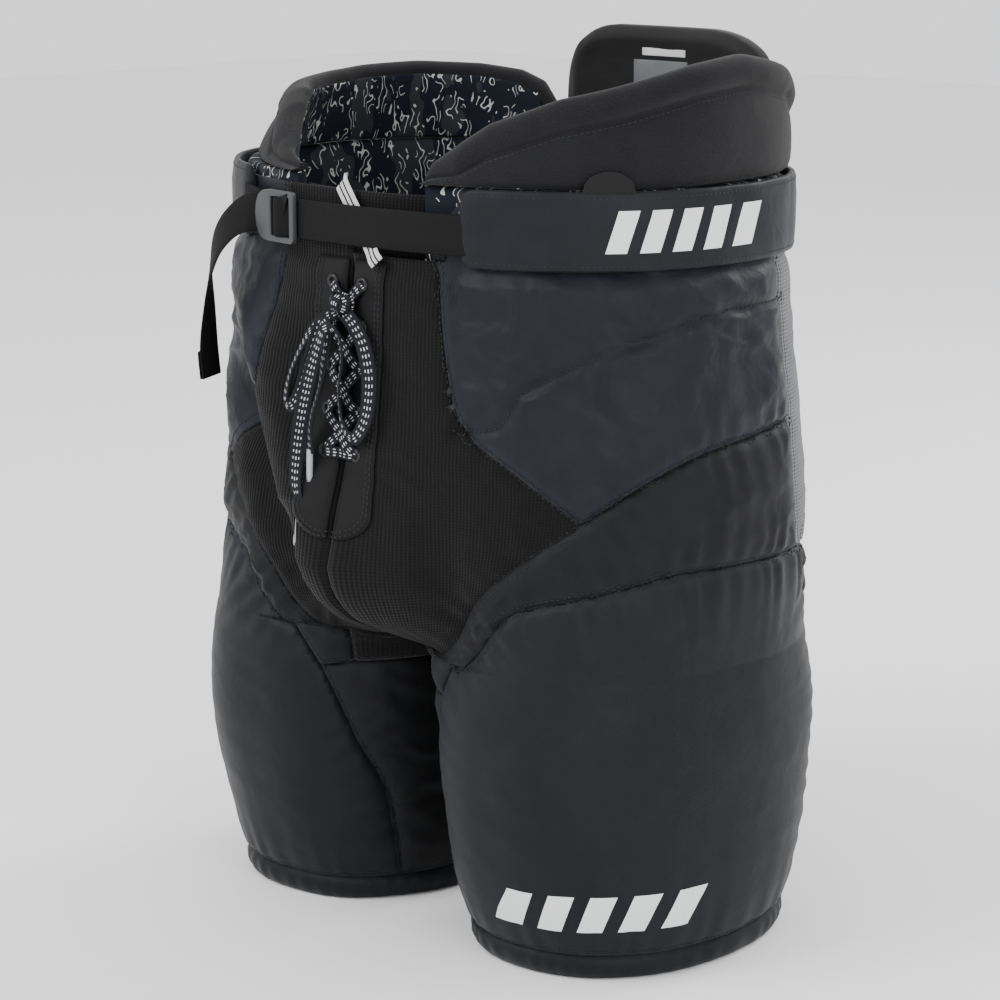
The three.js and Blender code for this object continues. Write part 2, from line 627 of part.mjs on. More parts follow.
// A rolled metal eyelet round a hole of the placket.
function eyelet(side, row) {
  const front = EYELET_SEAT + EYELET_REST;
  const back = PLACKET_OFFSET - EYELET_REST;
  const profile = [
    [EYELET_HOLE_RADIUS, back - EYELET_FLANGE],
    [EYELET_FLANGE_RADIUS - EYELET_LIP, back - EYELET_FLANGE],
    [EYELET_FLANGE_RADIUS - EYELET_LIP, back],
    [EYELET_BARREL_RADIUS, back],
    [EYELET_BARREL_RADIUS, front],
    [EYELET_FLANGE_RADIUS, front],
    [EYELET_FLANGE_RADIUS - EYELET_LIP, front + EYELET_FLANGE],
    [EYELET_HOLE_RADIUS, front + EYELET_FLANGE],
    [EYELET_HOLE_RADIUS, back - EYELET_FLANGE],
  ];
  const ring = new THREE.LatheGeometry(profile.map((p) => new THREE.Vector2(...p)), 8);
  const z = eyeletHeight(row);
  const x = (side * EYELET_SPREAD) / 2;
  return ring.rotateX(Math.PI).translate(x, frontAt(x, z), z);
}

// The tongue behind the lacing.
const TONGUE_HALF_WIDTH = 33;
const TONGUE_RAISE = 22; // above the fly's rounded end
const flyTongue = () => frontStrip({
  left: -TONGUE_HALF_WIDTH, right: TONGUE_HALF_WIDTH, rows: 6,
  foot: FLY_FOOT + TONGUE_RAISE, head: SHELL_TOP - PLACKET,
  offset: -FABRIC - LAYER_GAP - PLACKET, thickness: PLACKET,
});

// A striped tape that is folded over the front edge of the waist.
const TAPE = 1;
const TAPE_ENDS = [-16, 14];
const TAPE_RAISE = 2; // above the shell's edge
const waistTape = () => frontStrip({
  left: TAPE_ENDS[0], right: TAPE_ENDS[1], rows: 2,
  foot: WAIST_HEIGHT + TOUCH, head: SHELL_TOP + TAPE_RAISE,
  offset: 2 * TOUCH - FABRIC - LAYER_GAP, thickness: TAPE,
});

function tube(points, radius, sides, steps) {
  const section = new THREE.Shape(
    Array.from({ length: sides }, (_, k) => {
      const angle = (2 * Math.PI * (k + 0.5)) / sides;
      return new THREE.Vector2(radius * Math.cos(angle), radius * Math.sin(angle));
    }),
  );
  const path = new THREE.CatmullRomCurve3(points.map((p) => new THREE.Vector3(...p)));
  return new THREE.ExtrudeGeometry(section, { steps, extrudePath: path });
}

// The lace crosses between the eyelets, one strand over the other, up to the knot.
const LACE_SEAT = EYELET_SEAT + EYELET_REST + EYELET_FLANGE + TOUCH;
const CROSSING_THICKNESS = 1.6;
const KNOT_BELOW_BELT = 27;
const KNOT_ASIDE = 1;
const KNOT_RADIUS = 7;
const KNOT_PROPORTIONS = [1.3, 0.6, 1];

function crossingBar(fromSide, fromRow, toSide, toRow, lift) {
  const reach = EYELET_SPREAD / 2;
  return shapedBox(1, 1, (along, up, layer) => {
    const x = mix(fromSide, toSide, along) * reach;
    const z = mix(eyeletHeight(fromRow), eyeletHeight(toRow), along) + (up - 0.5) * LACE_WIDTH;
    const y = frontAt(x, z) - LACE_SEAT - lift - layer * CROSSING_THICKNESS;
    return new THREE.Vector3(x, y, z);
  });
}

function laceCrossings() {
  let lace = solidOf(crossingBar(-1, 0, 1, 0, 0));
  for (let row = 0; row < EYELET_ROWS - 1; row += 1) {
    lace = lace.add(solidOf(crossingBar(-1, row, 1, row + 1, 0)));
    lace = lace.add(solidOf(crossingBar(1, row, -1, row + 1, CROSSING_THICKNESS / 2)));
  }
  const knot = new THREE.SphereGeometry(KNOT_RADIUS, 10, 6).scale(...KNOT_PROPORTIONS);
  const z = WAIST_HEIGHT - KNOT_BELOW_BELT;
  const forward = LACE_SEAT + KNOT_RADIUS * KNOT_PROPORTIONS[1];
  knot.translate(KNOT_ASIDE, frontAt(KNOT_ASIDE, z) - forward, z);
  return geometryOf(lace.add(solidOf(knot)));
}

// Each half of the bow: out of the knot, round its loop, past the knot and down to its aglet.
const LACE_ROUTES = {
  right: [
    [-3.5, -153, 413.2], [-12, -155, 408], [-24, -156, 398], [-38, -157, 376], [-44, -158, 357],
    [-40, -159, 350], [-31, -159, 358], [-20, -159, 382], [-10, -160, 403], [-4, -163, 408],
    [0, -165, 398], [-6, -164, 370], [-16, -163, 345], [-18.5, -162, 324],
  ],
  left: [
    [5.5, -153, 413.2], [14, -155, 408], [24, -156, 396], [30, -157, 376], [28, -158, 352],
    [18, -159, 337], [8, -159, 345], [6, -160, 366], [10, -161, 388], [11, -165, 402],
    [6, -171, 406], [0, -172, 393], [-12, -170, 366], [-22, -168, 336], [-28, -166, 306],
    [-26, -165, 292], [-28, -164, 281],
  ],
};
const LACE_RADIUS = LACE_WIDTH / 2;
const LACE_STEPS = 30;

function laceEnd(side) {
  return tube(LACE_ROUTES[side], LACE_RADIUS, 8, LACE_STEPS);
}

function aglet(side) {
  const route = LACE_ROUTES[side].map((p) => new THREE.Vector3(...p));
  const end = route[route.length - 1];
  const heading = new THREE.CatmullRomCurve3(route).getTangent(1);
  const start = end.clone().addScaledVector(heading, TOUCH);
  const stop = start.clone().addScaledVector(heading, AGLET_LENGTH);
  const middle = start.clone().lerp(stop, 0.5);
  return tube([start, middle, stop].map((p) => p.toArray()), AGLET_RADIUS, 8, 3);
}

// ---------------------------------------------------------------- materials and assembly

const LOOKS = {
  nylon: ["#24262c", 0.55],
  satin: ["#2b2e36", 0.42],
  mesh: ["#15151a", 0.8],
  sideMesh: ["#6d7076", 0.75],
  twill: ["#23252b", 0.5],
  heather: ["#26262b", 0.85],
  foam: ["#1a1a1c", 0.9],
  foamCore: ["#c9c7bf", 0.95],
  plastic: ["#3a3c40", 0.35],
  hardPlastic: ["#d9d9d4", 0.4],
  webbing: ["#1c1c1e", 0.8],
  lace: ["#3b3d43", 0.8],
  tape: ["#e6e6e3", 0.7],
  liner: ["#1d2536", 0.8],
  tag: ["#70747a", 0.7],
};

function material(look) {
  const [color, roughness] = LOOKS[look];
  return new THREE.MeshStandardMaterial({ color, roughness, metalness: 0 });
}

const pants = new THREE.Group();

function add(name, geometry, look) {
  const mesh = new THREE.Mesh(geometry, material(look));
  mesh.name = name;
  pants.add(mesh);
}

function addPair(name, geometry, look) {
  add(`${name}_left`, geometry, look);
  add(`${name}_right`, mirrored(geometry), look);
}

const PANEL_LOOKS = {
  crotch_panel: "mesh",
  hip_panel: "satin",
  mid_panel: "nylon",
  thigh_panel: "twill",
  side_mesh: "sideMesh",
  seat_panel: "mesh",
  back_leg_panel: "nylon",
  inner_thigh: "nylon",
  hem_band: "twill",
};

for (const [name, geometry] of Object.entries(makePanels())) {
  addPair(name, geometry, PANEL_LOOKS[name]);
}
addPair("thigh_guard", thighGuard(), "hardPlastic");
addPair("thigh_foam", thighFoam(), "foamCore");
addPair("leg_liner", legLiner(), "liner");
addPair("hip_guard", hipGuard(), "hardPlastic");
addPair("hip_foam", hipFoam(), "foamCore");
add("kidney_base_left", kidneyBase(KIDNEY_BACK_LEFT), "foam");
add("kidney_base_right", mirrored(kidneyBase(KIDNEY_BACK_RIGHT)), "foam");
add("kidney_pad_left", kidneyPad(KIDNEY_BACK_LEFT), "heather");
add("kidney_pad_right", mirrored(kidneyPad(KIDNEY_BACK_RIGHT)), "heather");
add("spine_pad", spinePad(), "foam");
add("tail_pad", tailPad(), "foam");
add("size_tag", sizeTag(), "tag");

add("belt_cover_left", beltCover(COVER_FRONT_LEFT), "satin");
add("belt_cover_right", mirrored(beltCover(COVER_FRONT_RIGHT)), "satin");
add("belt_strap", beltStrap(), "webbing");
add("belt_anchor", beltAnchor(), "webbing");
add("buckle", placedBuckle(), "plastic");
add("belt_tail", beltTail(), "webbing");

addPair("fly_placket", flyPlacket(), "mesh");
add("fly_tongue", flyTongue(), "mesh");
add("waist_tape", waistTape(), "tape");
for (const [side, sign] of [["left", 1], ["right", -1]]) {
  for (let row = 0; row < EYELET_ROWS; row += 1) {
    add(`eyelet_${side}_${row + 1}`, eyelet(sign, row), "plastic");
  }
}
add("lace_crossings", laceCrossings(), "lace");
for (const side of ["left", "right"]) {
  add(`lace_end_${side}`, laceEnd(side), "lace");
  add(`aglet_${side}`, aglet(side), "tag");
}

export default pants;
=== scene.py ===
"""Ice hockey pants: the looks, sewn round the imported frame.

Metres. +Z is up, the wearer faces -Y and the wearer's left is on +X. Around counts turns of one
half: 0 at the front middle, 0.5 at the side and 1 at the back middle.
"""

import math

import bmesh
import bpy
import numpy as np
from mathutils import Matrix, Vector, kdtree, noise
from mathutils.bvhtree import BVHTree


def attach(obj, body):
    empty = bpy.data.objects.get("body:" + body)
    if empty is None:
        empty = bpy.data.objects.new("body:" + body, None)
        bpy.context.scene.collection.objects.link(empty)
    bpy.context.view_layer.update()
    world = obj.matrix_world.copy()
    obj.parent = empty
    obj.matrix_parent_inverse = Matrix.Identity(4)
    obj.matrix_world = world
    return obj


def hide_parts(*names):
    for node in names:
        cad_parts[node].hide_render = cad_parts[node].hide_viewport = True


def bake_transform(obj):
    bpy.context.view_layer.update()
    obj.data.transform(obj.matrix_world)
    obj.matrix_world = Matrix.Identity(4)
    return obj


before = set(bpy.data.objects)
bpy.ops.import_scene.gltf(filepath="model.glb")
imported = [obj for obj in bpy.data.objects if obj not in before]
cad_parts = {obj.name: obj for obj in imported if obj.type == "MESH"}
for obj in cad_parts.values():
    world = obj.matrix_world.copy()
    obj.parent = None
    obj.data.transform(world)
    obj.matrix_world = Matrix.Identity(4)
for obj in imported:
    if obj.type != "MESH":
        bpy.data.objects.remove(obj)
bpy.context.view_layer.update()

# ------------------------------------------------------------------ sizes of the body

MM = 0.001
CROTCH = 0.196
WAIST = 0.447
RISE = WAIST - CROTCH
CROTCH_BLEND = 0.095
COVER_TOP = 0.495
SHELL_TOP = 0.490
HEM_BAND = 0.016
KNEE_GAP = 0.052
BELT_MIDDLE = 0.467
FLY_FOOT = WAIST - 0.176
SIDES = {"left": 1, "right": -1}


def ease(t):
    t = np.clip(t, 0, 1)
    return t * t * (3 - 2 * t)


def mix(a, b, t):
    return a + (b - a) * t


def signed_power(c, power):
    return np.sign(c) * np.abs(c) ** power


def bell(x, middle, spread):
    return np.exp(-(((x - middle) / spread) ** 2))


def unit(v):
    return v / np.maximum(np.linalg.norm(v, axis=-1, keepdims=True), 1e-12)


# ------------------------------------------------------------------ camera

def add_object(name, data):
    item = bpy.data.objects.new(name, data)
    bpy.context.scene.collection.objects.link(item)
    return item


def make_camera():
    target = Vector((0, 0, 0.285))
    back = Vector((0.667, -0.715, 0.208)).normalized()
    data = bpy.data.cameras.new("camera")
    data.lens = 107.5
    data.sensor_width = 36
    data.shift_x = -0.008
    data.shift_y = -0.022
    camera = add_object("camera", data)
    camera.location = target + back * 1.98
    camera.rotation_euler = back.to_track_quat("Z", "Y").to_euler()
    bpy.context.scene.camera = camera


make_camera()

# ------------------------------------------------------------------ material building blocks


def feed(tree, socket, value):
    """Links another socket to this one, or sets its constant."""
    if isinstance(value, bpy.types.NodeSocket):
        tree.links.new(value, socket)
    else:
        socket.default_value = value


def add_node(tree, kind, inputs=None, **settings):
    """A node with its settings, its inputs given as values or as sockets to link."""
    node = tree.nodes.new(kind)
    for key, value in settings.items():
        setattr(node, key, value)
    for key, value in (inputs or {}).items():
        feed(tree, node.inputs[key], value)
    return node


def math_node(tree, operation, *values, clamp=False):
    inputs = dict(enumerate(values))
    return add_node(tree, "ShaderNodeMath", inputs, operation=operation, use_clamp=clamp).outputs[0]


def times(tree, first, second, clamp=False):
    return math_node(tree, "MULTIPLY", first, second, clamp=clamp)


def noise_node(tree, vector, scale, detail=2.0, **more):
    inputs = {"Vector": vector, "Scale": scale, "Detail": detail}
    inputs.update({key.title(): value for key, value in more.items()})
    return add_node(tree, "ShaderNodeTexNoise", inputs).outputs[0]


def axes_of(tree, vector):
    return add_node(tree, "ShaderNodeSeparateXYZ", {0: vector}).outputs


def coordinates(tree):
    return add_node(tree, "ShaderNodeTexCoord").outputs


def new_group(name, inputs, outputs):
    """A shader node group with named sockets: its tree, its input sockets and its output node."""
    tree = bpy.data.node_groups.new(name, "ShaderNodeTree")
    kinds = {"vector": "NodeSocketVector", "value": "NodeSocketFloat", "colour": "NodeSocketColor"}
    for label, kind, value in inputs:
        socket = tree.interface.new_socket(label, in_out="INPUT", socket_type=kinds[kind])
        if value is not None:
            socket.default_value = value
    for label, kind in outputs:
        tree.interface.new_socket(label, in_out="OUTPUT", socket_type=kinds[kind])
    start = tree.nodes.new("NodeGroupInput")
    end = tree.nodes.new("NodeGroupOutput")
    return tree, start.outputs, end.inputs


def wave_of(tree, turns):
    """A wave from 0 to 1 for every whole turn of a value."""
    swing = math_node(tree, "SINE", math_node(tree, "MULTIPLY", turns, 2 * math.pi))
    return math_node(tree, "MULTIPLY_ADD", swing, 0.5, 0.5)


def make_weave_group():
    """Threads over and under each other: plain weave, turning to twill as Slant goes to 1."""
    tree, start, end = new_group(
        "woven_threads",
        [("Vector", "vector", None), ("Pitch", "value", 0.0012), ("Slant", "value", 0.0)],
        [("Height", "value"), ("Shade", "value")],
    )
    axes = axes_of(tree, start["Vector"])
    across = math_node(tree, "DIVIDE", axes[0], start["Pitch"])
    along = math_node(tree, "DIVIDE", axes[1], start["Pitch"])
    warp = wave_of(tree, across)
    weft = wave_of(tree, along)
    plain = math_node(tree, "ABSOLUTE", math_node(tree, "SUBTRACT", warp, weft))
    twill = wave_of(tree, math_node(tree, "ADD", across, along))
    slant = start["Slant"]
    woven = add_node(tree, "ShaderNodeMix", {0: slant, 2: plain, 3: twill}, data_type="FLOAT").outputs[0]
    fuzz = noise_node(tree, start["Vector"], 900.0)
    broad = noise_node(tree, start["Vector"], 22.0, 4.0)
    feed(tree, end["Height"], math_node(tree, "MULTIPLY_ADD", fuzz, 0.5, times(tree, woven, 0.5)))
    feed(tree, end["Shade"], math_node(tree, "MULTIPLY_ADD", broad, 0.6, times(tree, fuzz, 0.4)))
    return tree


def make_knit_group():
    """Knitted wales and courses, with open pores between them."""
    tree, start, end = new_group(
        "knitted_loops",
        [("Vector", "vector", None), ("Wale", "value", 0.0022), ("Course", "value", 0.0016)],
        [("Height", "value"), ("Pore", "value")],
    )
    axes = axes_of(tree, start["Vector"])
    wale = wave_of(tree, math_node(tree, "DIVIDE", axes[0], start["Wale"]))
    course = wave_of(tree, math_node(tree, "DIVIDE", axes[1], start["Course"]))
    feed(tree, end["Height"], math_node(tree, "MULTIPLY_ADD", wale, 0.65, times(tree, course, 0.35)))
    low = math_node(tree, "SUBTRACT", 1.0, math_node(tree, "MAXIMUM", wale, course))
    feed(tree, end["Pore"], times(tree, low, 1.6, clamp=True))
    return tree


WEAR_REACH = 0.006


def make_wear_group():
    """Rubbed edges and faint dust: how much a surface is lightened."""
    tree, start, end = new_group(
        "wear_and_dust",
        [("Vector", "vector", None), ("Seam", "value", 1.0), ("Reach", "value", WEAR_REACH),
         ("Amount", "value", 0.5)],
        [("Mask", "value")],
    )
    part_way = math_node(tree, "DIVIDE", start["Seam"], start["Reach"])
    near = math_node(tree, "SUBTRACT", 1.0, part_way, clamp=True)
    patch = noise_node(tree, start["Vector"], 60.0, 6.0)
    rubbed = times(tree, near, patch)
    dust = times(tree, math_node(tree, "SUBTRACT", patch, 0.45, clamp=True), 0.6)
    both = math_node(tree, "ADD", rubbed, dust)
    feed(tree, end["Mask"], times(tree, both, start["Amount"], clamp=True))
    return tree


BARS_INPUTS = ("From", "To", "Foot", "Head", "Pitch", "Slant", "Share")


def make_bars_group():
    """A row of slanting bars inside a rectangle, the plain graphic on the thigh and the belt cover."""
    tree, start, end = new_group(
        "slanting_bars",
        [("Vector", "vector", None)] + [(label, "value", 0.02) for label in BARS_INPUTS],
        [("Mask", "value")],
    )
    axes = axes_of(tree, start["Vector"])
    climb = math_node(tree, "SUBTRACT", axes[1], start["Foot"])
    leaning = math_node(tree, "SUBTRACT", axes[0], times(tree, climb, start["Slant"]))
    step = math_node(tree, "DIVIDE", math_node(tree, "SUBTRACT", leaning, start["From"]), start["Pitch"])
    bar = math_node(tree, "LESS_THAN", math_node(tree, "FRACT", step), start["Share"])
    for value, low, high in ((leaning, "From", "To"), (axes[1], "Foot", "Head")):
        bar = times(tree, bar, math_node(tree, "GREATER_THAN", value, start[low]))
        bar = times(tree, bar, math_node(tree, "LESS_THAN", value, start[high]))
    feed(tree, end["Mask"], bar)
    return tree


WEAVE = make_weave_group()
KNIT = make_knit_group()
WEAR = make_wear_group()
BARS = make_bars_group()


def new_material(name, roughness, gleam=0.14, **sockets):
    """A material whose Principled shader has these constant sockets, and its tree."""
    material = bpy.data.materials.new(name)
    material.use_nodes = True
    tree = material.node_tree
    shader = tree.nodes["Principled BSDF"]
    shader.inputs["Roughness"].default_value = roughness
    shader.inputs["Specular IOR Level"].default_value = gleam
    for key, value in sockets.items():
        shader.inputs[key.replace("_", " ").title()].default_value = value
    return material, tree, shader


def place_group(tree, group, **inputs):
    node = add_node(tree, "ShaderNodeGroup", node_tree=group)
    for key, value in inputs.items():
        feed(tree, node.inputs[key.title()], value)
    return node.outputs


def mix_colours(tree, share, first, second):
    node = add_node(tree, "ShaderNodeMix", {0: share}, data_type="RGBA")
    for index, value in ((6, first), (7, second)):
        feed(tree, node.inputs[index], value if isinstance(value, bpy.types.NodeSocket) else (*value, 1))
    return node.outputs[2]


def lit(colour, gain, lift=0.0):
    """The colour made brighter or darker."""
    return [min(1, gain * c + lift) for c in colour]


def worn(tree, tint, rubbed, amount, reach=WEAR_REACH, sewn=True):
    """The tint with rubbed edges and dust. Only sewn cloth knows how far its seams are."""
    seam = add_node(tree, "ShaderNodeAttribute", attribute_name="seam").outputs["Fac"] if sewn else 1.0
    place = coordinates(tree)["Object"]
    mask = place_group(tree, WEAR, vector=place, seam=seam, reach=reach, amount=amount)["Mask"]
    return mix_colours(tree, mask, tint, rubbed)


WEAVE_BUMP = 0.001
CREASE_BUMP = 0.006


def finish_surface(tree, shader, colour, height, depth, creases=0.0):
    """Links a colour and a bump, with fine creases of the cloth below the bump where asked."""
    feed(tree, shader.inputs["Base Color"], colour)
    fine = {"Height": height, "Strength": depth, "Distance": WEAVE_BUMP}
    if creases:
        rough = noise_node(tree, coordinates(tree)["Object"], 45.0, 5.0, distortion=0.6)
        folds = {"Height": rough, "Strength": creases, "Distance": CREASE_BUMP}
        fine["Normal"] = add_node(tree, "ShaderNodeBump", folds).outputs[0]
    feed(tree, shader.inputs["Normal"], add_node(tree, "ShaderNodeBump", fine).outputs[0])


def woven_cloth(name, colours, roughness, pitch, slant=0.0, depth=0.3, creases=0.15, bars=None, **sockets):
    """Woven cloth between two colours, with light bars printed on it where asked."""
    material, tree, shader = new_material(name, roughness, **sockets)
    chart = coordinates(tree)["UV"]
    weave = place_group(tree, WEAVE, vector=chart, pitch=pitch, slant=slant)
    shade = math_node(tree, "MULTIPLY_ADD", weave["Shade"], 1.6, -0.45, clamp=True)
    tint = mix_colours(tree, shade, *colours)
    tint = worn(tree, tint, lit(colours[1], 2.0, 0.004), 0.5, 0.008)
    if bars:
        mask = place_group(tree, BARS, vector=chart, **bars)["Mask"]
        tint = mix_colours(tree, times(tree, mask, 0.93), tint, BAR_WHITE)
    finish_surface(tree, shader, tint, weave["Height"], depth, creases)
    return material


def knitted_cloth(name, colour, pore, roughness, wale, course, **sockets):
    material, tree, shader = new_material(name, roughness, **sockets)
    knit = place_group(tree, KNIT, vector=coordinates(tree)["UV"], wale=wale, course=course)
    tint = mix_colours(tree, knit["Pore"], colour, pore)
    tint = worn(tree, tint, lit(colour, 2.0, 0.004), 0.4)
    finish_surface(tree, shader, tint, knit["Height"], 0.6, 0.1)
    return material


def heather_cloth():
    """Brushed knit of light and dark fibres."""
    material, tree, shader = new_material("heather", 0.9, sheen_weight=0.08, sheen_roughness=0.5)
    place = coordinates(tree)
    fibres = noise_node(tree, place["UV"], 950.0, 3.0, roughness=0.7)
    patches = noise_node(tree, place["Object"], 30.0, 3.0)
    fleck = math_node(tree, "MULTIPLY_ADD", fibres, 3.0, -1.1, clamp=True)
    tint = mix_colours(tree, fleck, (0.0034, 0.0034, 0.0040), (0.0155, 0.0155, 0.0175))
    tint = worn(tree, tint, (0.04, 0.04, 0.045), 0.3, 0.01)
    tint = mix_colours(tree, times(tree, patches, 0.35), tint, (0.009, 0.009, 0.0105))
    finish_surface(tree, shader, tint, fibres, 0.35, 0.12)
    return material


def printed_lining():
    """Dark lining with cloudy camouflage patches and loose light strokes."""
    material, tree, shader = new_material("printed_lining", 0.8)
    chart = coordinates(tree)["UV"]
    weave = place_group(tree, WEAVE, vector=chart, pitch=0.0011)
    patch = math_node(tree, "GREATER_THAN", noise_node(tree, chart, 28.0), 0.52)
    tint = mix_colours(tree, patch, (0.006, 0.008, 0.014), (0.022, 0.024, 0.030))
    swirl = {"Vector": chart, "Scale": 34.0, "Distortion": 16.0, "Detail": 1.0, "Detail Scale": 2.2}
    strokes = add_node(tree, "ShaderNodeTexWave", swirl).outputs["Fac"]
    line = math_node(tree, "GREATER_THAN", strokes, 0.93)
    broken = math_node(tree, "GREATER_THAN", noise_node(tree, chart, 60.0), 0.5)
    tint = mix_colours(tree, times(tree, times(tree, line, broken), 0.8), tint, (0.5, 0.51, 0.5))
    finish_surface(tree, shader, tint, weave["Height"], 0.2, 0.1)
    return material


def skinned_foam():
    material, tree, shader = new_material("skinned_foam", 0.62, sheen_weight=0.1)
    place = coordinates(tree)["Object"]
    cells = add_node(tree, "ShaderNodeTexVoronoi", {"Vector": place, "Scale": 1400.0})
    broad = noise_node(tree, place, 35.0, 4.0)
    tint = mix_colours(tree, broad, (0.0034, 0.0034, 0.0038), (0.0075, 0.0075, 0.0082))
    tint = worn(tree, tint, (0.03, 0.03, 0.03), 0.25, sewn=False)
    finish_surface(tree, shader, tint, cells.outputs["Distance"], 0.15, 0.12)
    return material


def moulded(name, colour, roughness, **sockets):
    """Moulded plastic with a fine grain and lighter dusty patches at random."""
    material, tree, shader = new_material(name, roughness, **sockets)
    grain = noise_node(tree, coordinates(tree)["Object"], 1100.0, 3.0)
    tint = mix_colours(tree, grain, lit(colour, 0.85), lit(colour, 1.15))
    tint = worn(tree, tint, lit(colour, 1.6, 0.02), 0.5, sewn=False)
    finish_surface(tree, shader, tint, grain, 0.12)
    return material


def ribbon_cloth(name, colour, roughness, pitch, rows=()):
    """Narrow woven ware with rows of another colour along it.

    A row is its centre and half width across, the pitch and filled share of its dashes, and its ink.
    """
    material, tree, shader = new_material(name, roughness)
    chart = coordinates(tree)["UV"]
    weave = place_group(tree, WEAVE, vector=chart, pitch=pitch, slant=0.6)
    shade = math_node(tree, "MULTIPLY_ADD", weave["Shade"], 1.4, -0.3, clamp=True)
    tint = mix_colours(tree, shade, lit(colour, 0.7), lit(colour, 1.3))
    tint = mix_colours(tree, times(tree, weave["Height"], 0.35), tint, lit(colour, 0.35))
    axes = axes_of(tree, chart)
    for centre, half, dash_pitch, share, ink in rows:
        off = math_node(tree, "ABSOLUTE", math_node(tree, "SUBTRACT", axes[0], centre))
        step = math_node(tree, "FRACT", math_node(tree, "DIVIDE", axes[1], dash_pitch))
        inside = math_node(tree, "LESS_THAN", off, half)
        filled = math_node(tree, "LESS_THAN", step, share)
        tint = mix_colours(tree, times(tree, inside, filled), tint, ink)
    finish_surface(tree, shader, tint, weave["Height"], 0.45)
    return material


BAR_WHITE = (0.74, 0.75, 0.76)
LACE_WHITE = (0.46, 0.47, 0.48)
BLACK_INK = (0.008, 0.008, 0.009)
SATIN = ((0.0052, 0.0060, 0.0094), (0.0112, 0.0128, 0.0190))
COVER_SATIN = ((0.0058, 0.0064, 0.0088), (0.0112, 0.0122, 0.0165))
PLAIN = ((0.0040, 0.0042, 0.0050), (0.0075, 0.0078, 0.0092))
TWILL = ((0.0046, 0.0051, 0.0070), (0.0086, 0.0095, 0.0126))
PLACKET = ((0.0034, 0.0034, 0.0038), (0.0062, 0.0062, 0.0072))
TAG_GREY = ((0.10, 0.105, 0.11), (0.16, 0.165, 0.17))
LABEL_WHITE = ((0.55, 0.55, 0.55), (0.66, 0.66, 0.66))
THREAD_GREY = ((0.014, 0.0145, 0.017), (0.028, 0.029, 0.033))
NYLON = {"sheen_weight": 0.05, "sheen_roughness": 0.35}
THIGH_BARS = {"from": 0.148, "to": 0.288, "foot": 0.0360, "head": 0.0610, "pitch": 0.028, "slant": 0.45,
              "share": 0.62}
COVER_BARS = {"from": 0.189, "to": 0.325, "foot": 0.4585, "head": 0.4840, "pitch": 0.0275, "slant": 0.4,
              "share": 0.62}
LACE_DASHES = [(0.0, 0.00040, 0.0046, 0.5, LACE_WHITE), (-0.0019, 0.00032, 0.0046, 0.38, LACE_WHITE),
               (0.0019, 0.00032, 0.0046, 0.38, LACE_WHITE)]
TAPE_STRIPES = [(0.0017 * k, 0.0006, 1.0, 2.0, BLACK_INK) for k in (-1, 1)]
MATERIALS = {
    "knit": knitted_cloth("ribbed_knit", (0.0038, 0.0038, 0.0042), (0.0009, 0.0009, 0.0011), 0.85, 0.0026,
                          0.0019, sheen_weight=0.05),
    "satin": woven_cloth("satin_nylon", SATIN, 0.48, 0.0011, 0.2, 0.12, 0.32, **NYLON),
    "nylon": woven_cloth("plain_nylon", PLAIN, 0.55, 0.0013, 0.0, 0.2, 0.20, **NYLON),
    "twill": woven_cloth("fine_twill", TWILL, 0.5, 0.0012, 1.0, 0.2, 0.10, bars=THIGH_BARS, **NYLON),
    "plain_twill": woven_cloth("plain_twill", TWILL, 0.5, 0.0012, 1.0, 0.2, 0.10, **NYLON),
    "side_mesh": knitted_cloth("side_mesh", (0.12, 0.124, 0.132), (0.02, 0.02, 0.022), 0.7, 0.0028, 0.0024,
                               sheen_weight=0.2),
    "heather": heather_cloth(),
    "liner": printed_lining(),
    "black_foam": skinned_foam(),
    "webbing": ribbon_cloth("belt_webbing", (0.0050, 0.0050, 0.0056), 0.75, 0.0016),
    "lace": ribbon_cloth("flat_lace", (0.013, 0.014, 0.018), 0.85, 0.0011, LACE_DASHES),
    "tape": ribbon_cloth("striped_tape", (0.62, 0.62, 0.61), 0.7, 0.0012, TAPE_STRIPES),
    "tag": woven_cloth("blank_tag", TAG_GREY, 0.6, 0.0009, 0.0, 0.2, 0.05),
    "buckle_plastic": moulded("buckle_nylon", (0.030, 0.031, 0.034), 0.42, gleam=0.5),
    "eyelet_plastic": moulded("black_eyelet", (0.012, 0.012, 0.013), 0.3, gleam=0.5, metallic=0.4),
    "aglet_plastic": moulded("clear_aglet", (0.30, 0.31, 0.33), 0.18, gleam=0.5, coat_weight=0.6),
    "cover_satin": woven_cloth("cover_satin", COVER_SATIN, 0.5, 0.0011, 0.3, 0.12, 0.20, bars=COVER_BARS,
                               **NYLON),
    "placket_cloth": woven_cloth("placket_cloth", PLACKET, 0.6, 0.0010, 1.0, 0.25, 0.1),
    "white_label": woven_cloth("white_label", LABEL_WHITE, 0.6, 0.0009),
    "thread": woven_cloth("sewing_thread", THREAD_GREY, 0.6, 0.0008, 1.0, 0.2, 0.0),
}

# ------------------------------------------------------------------ making pieces


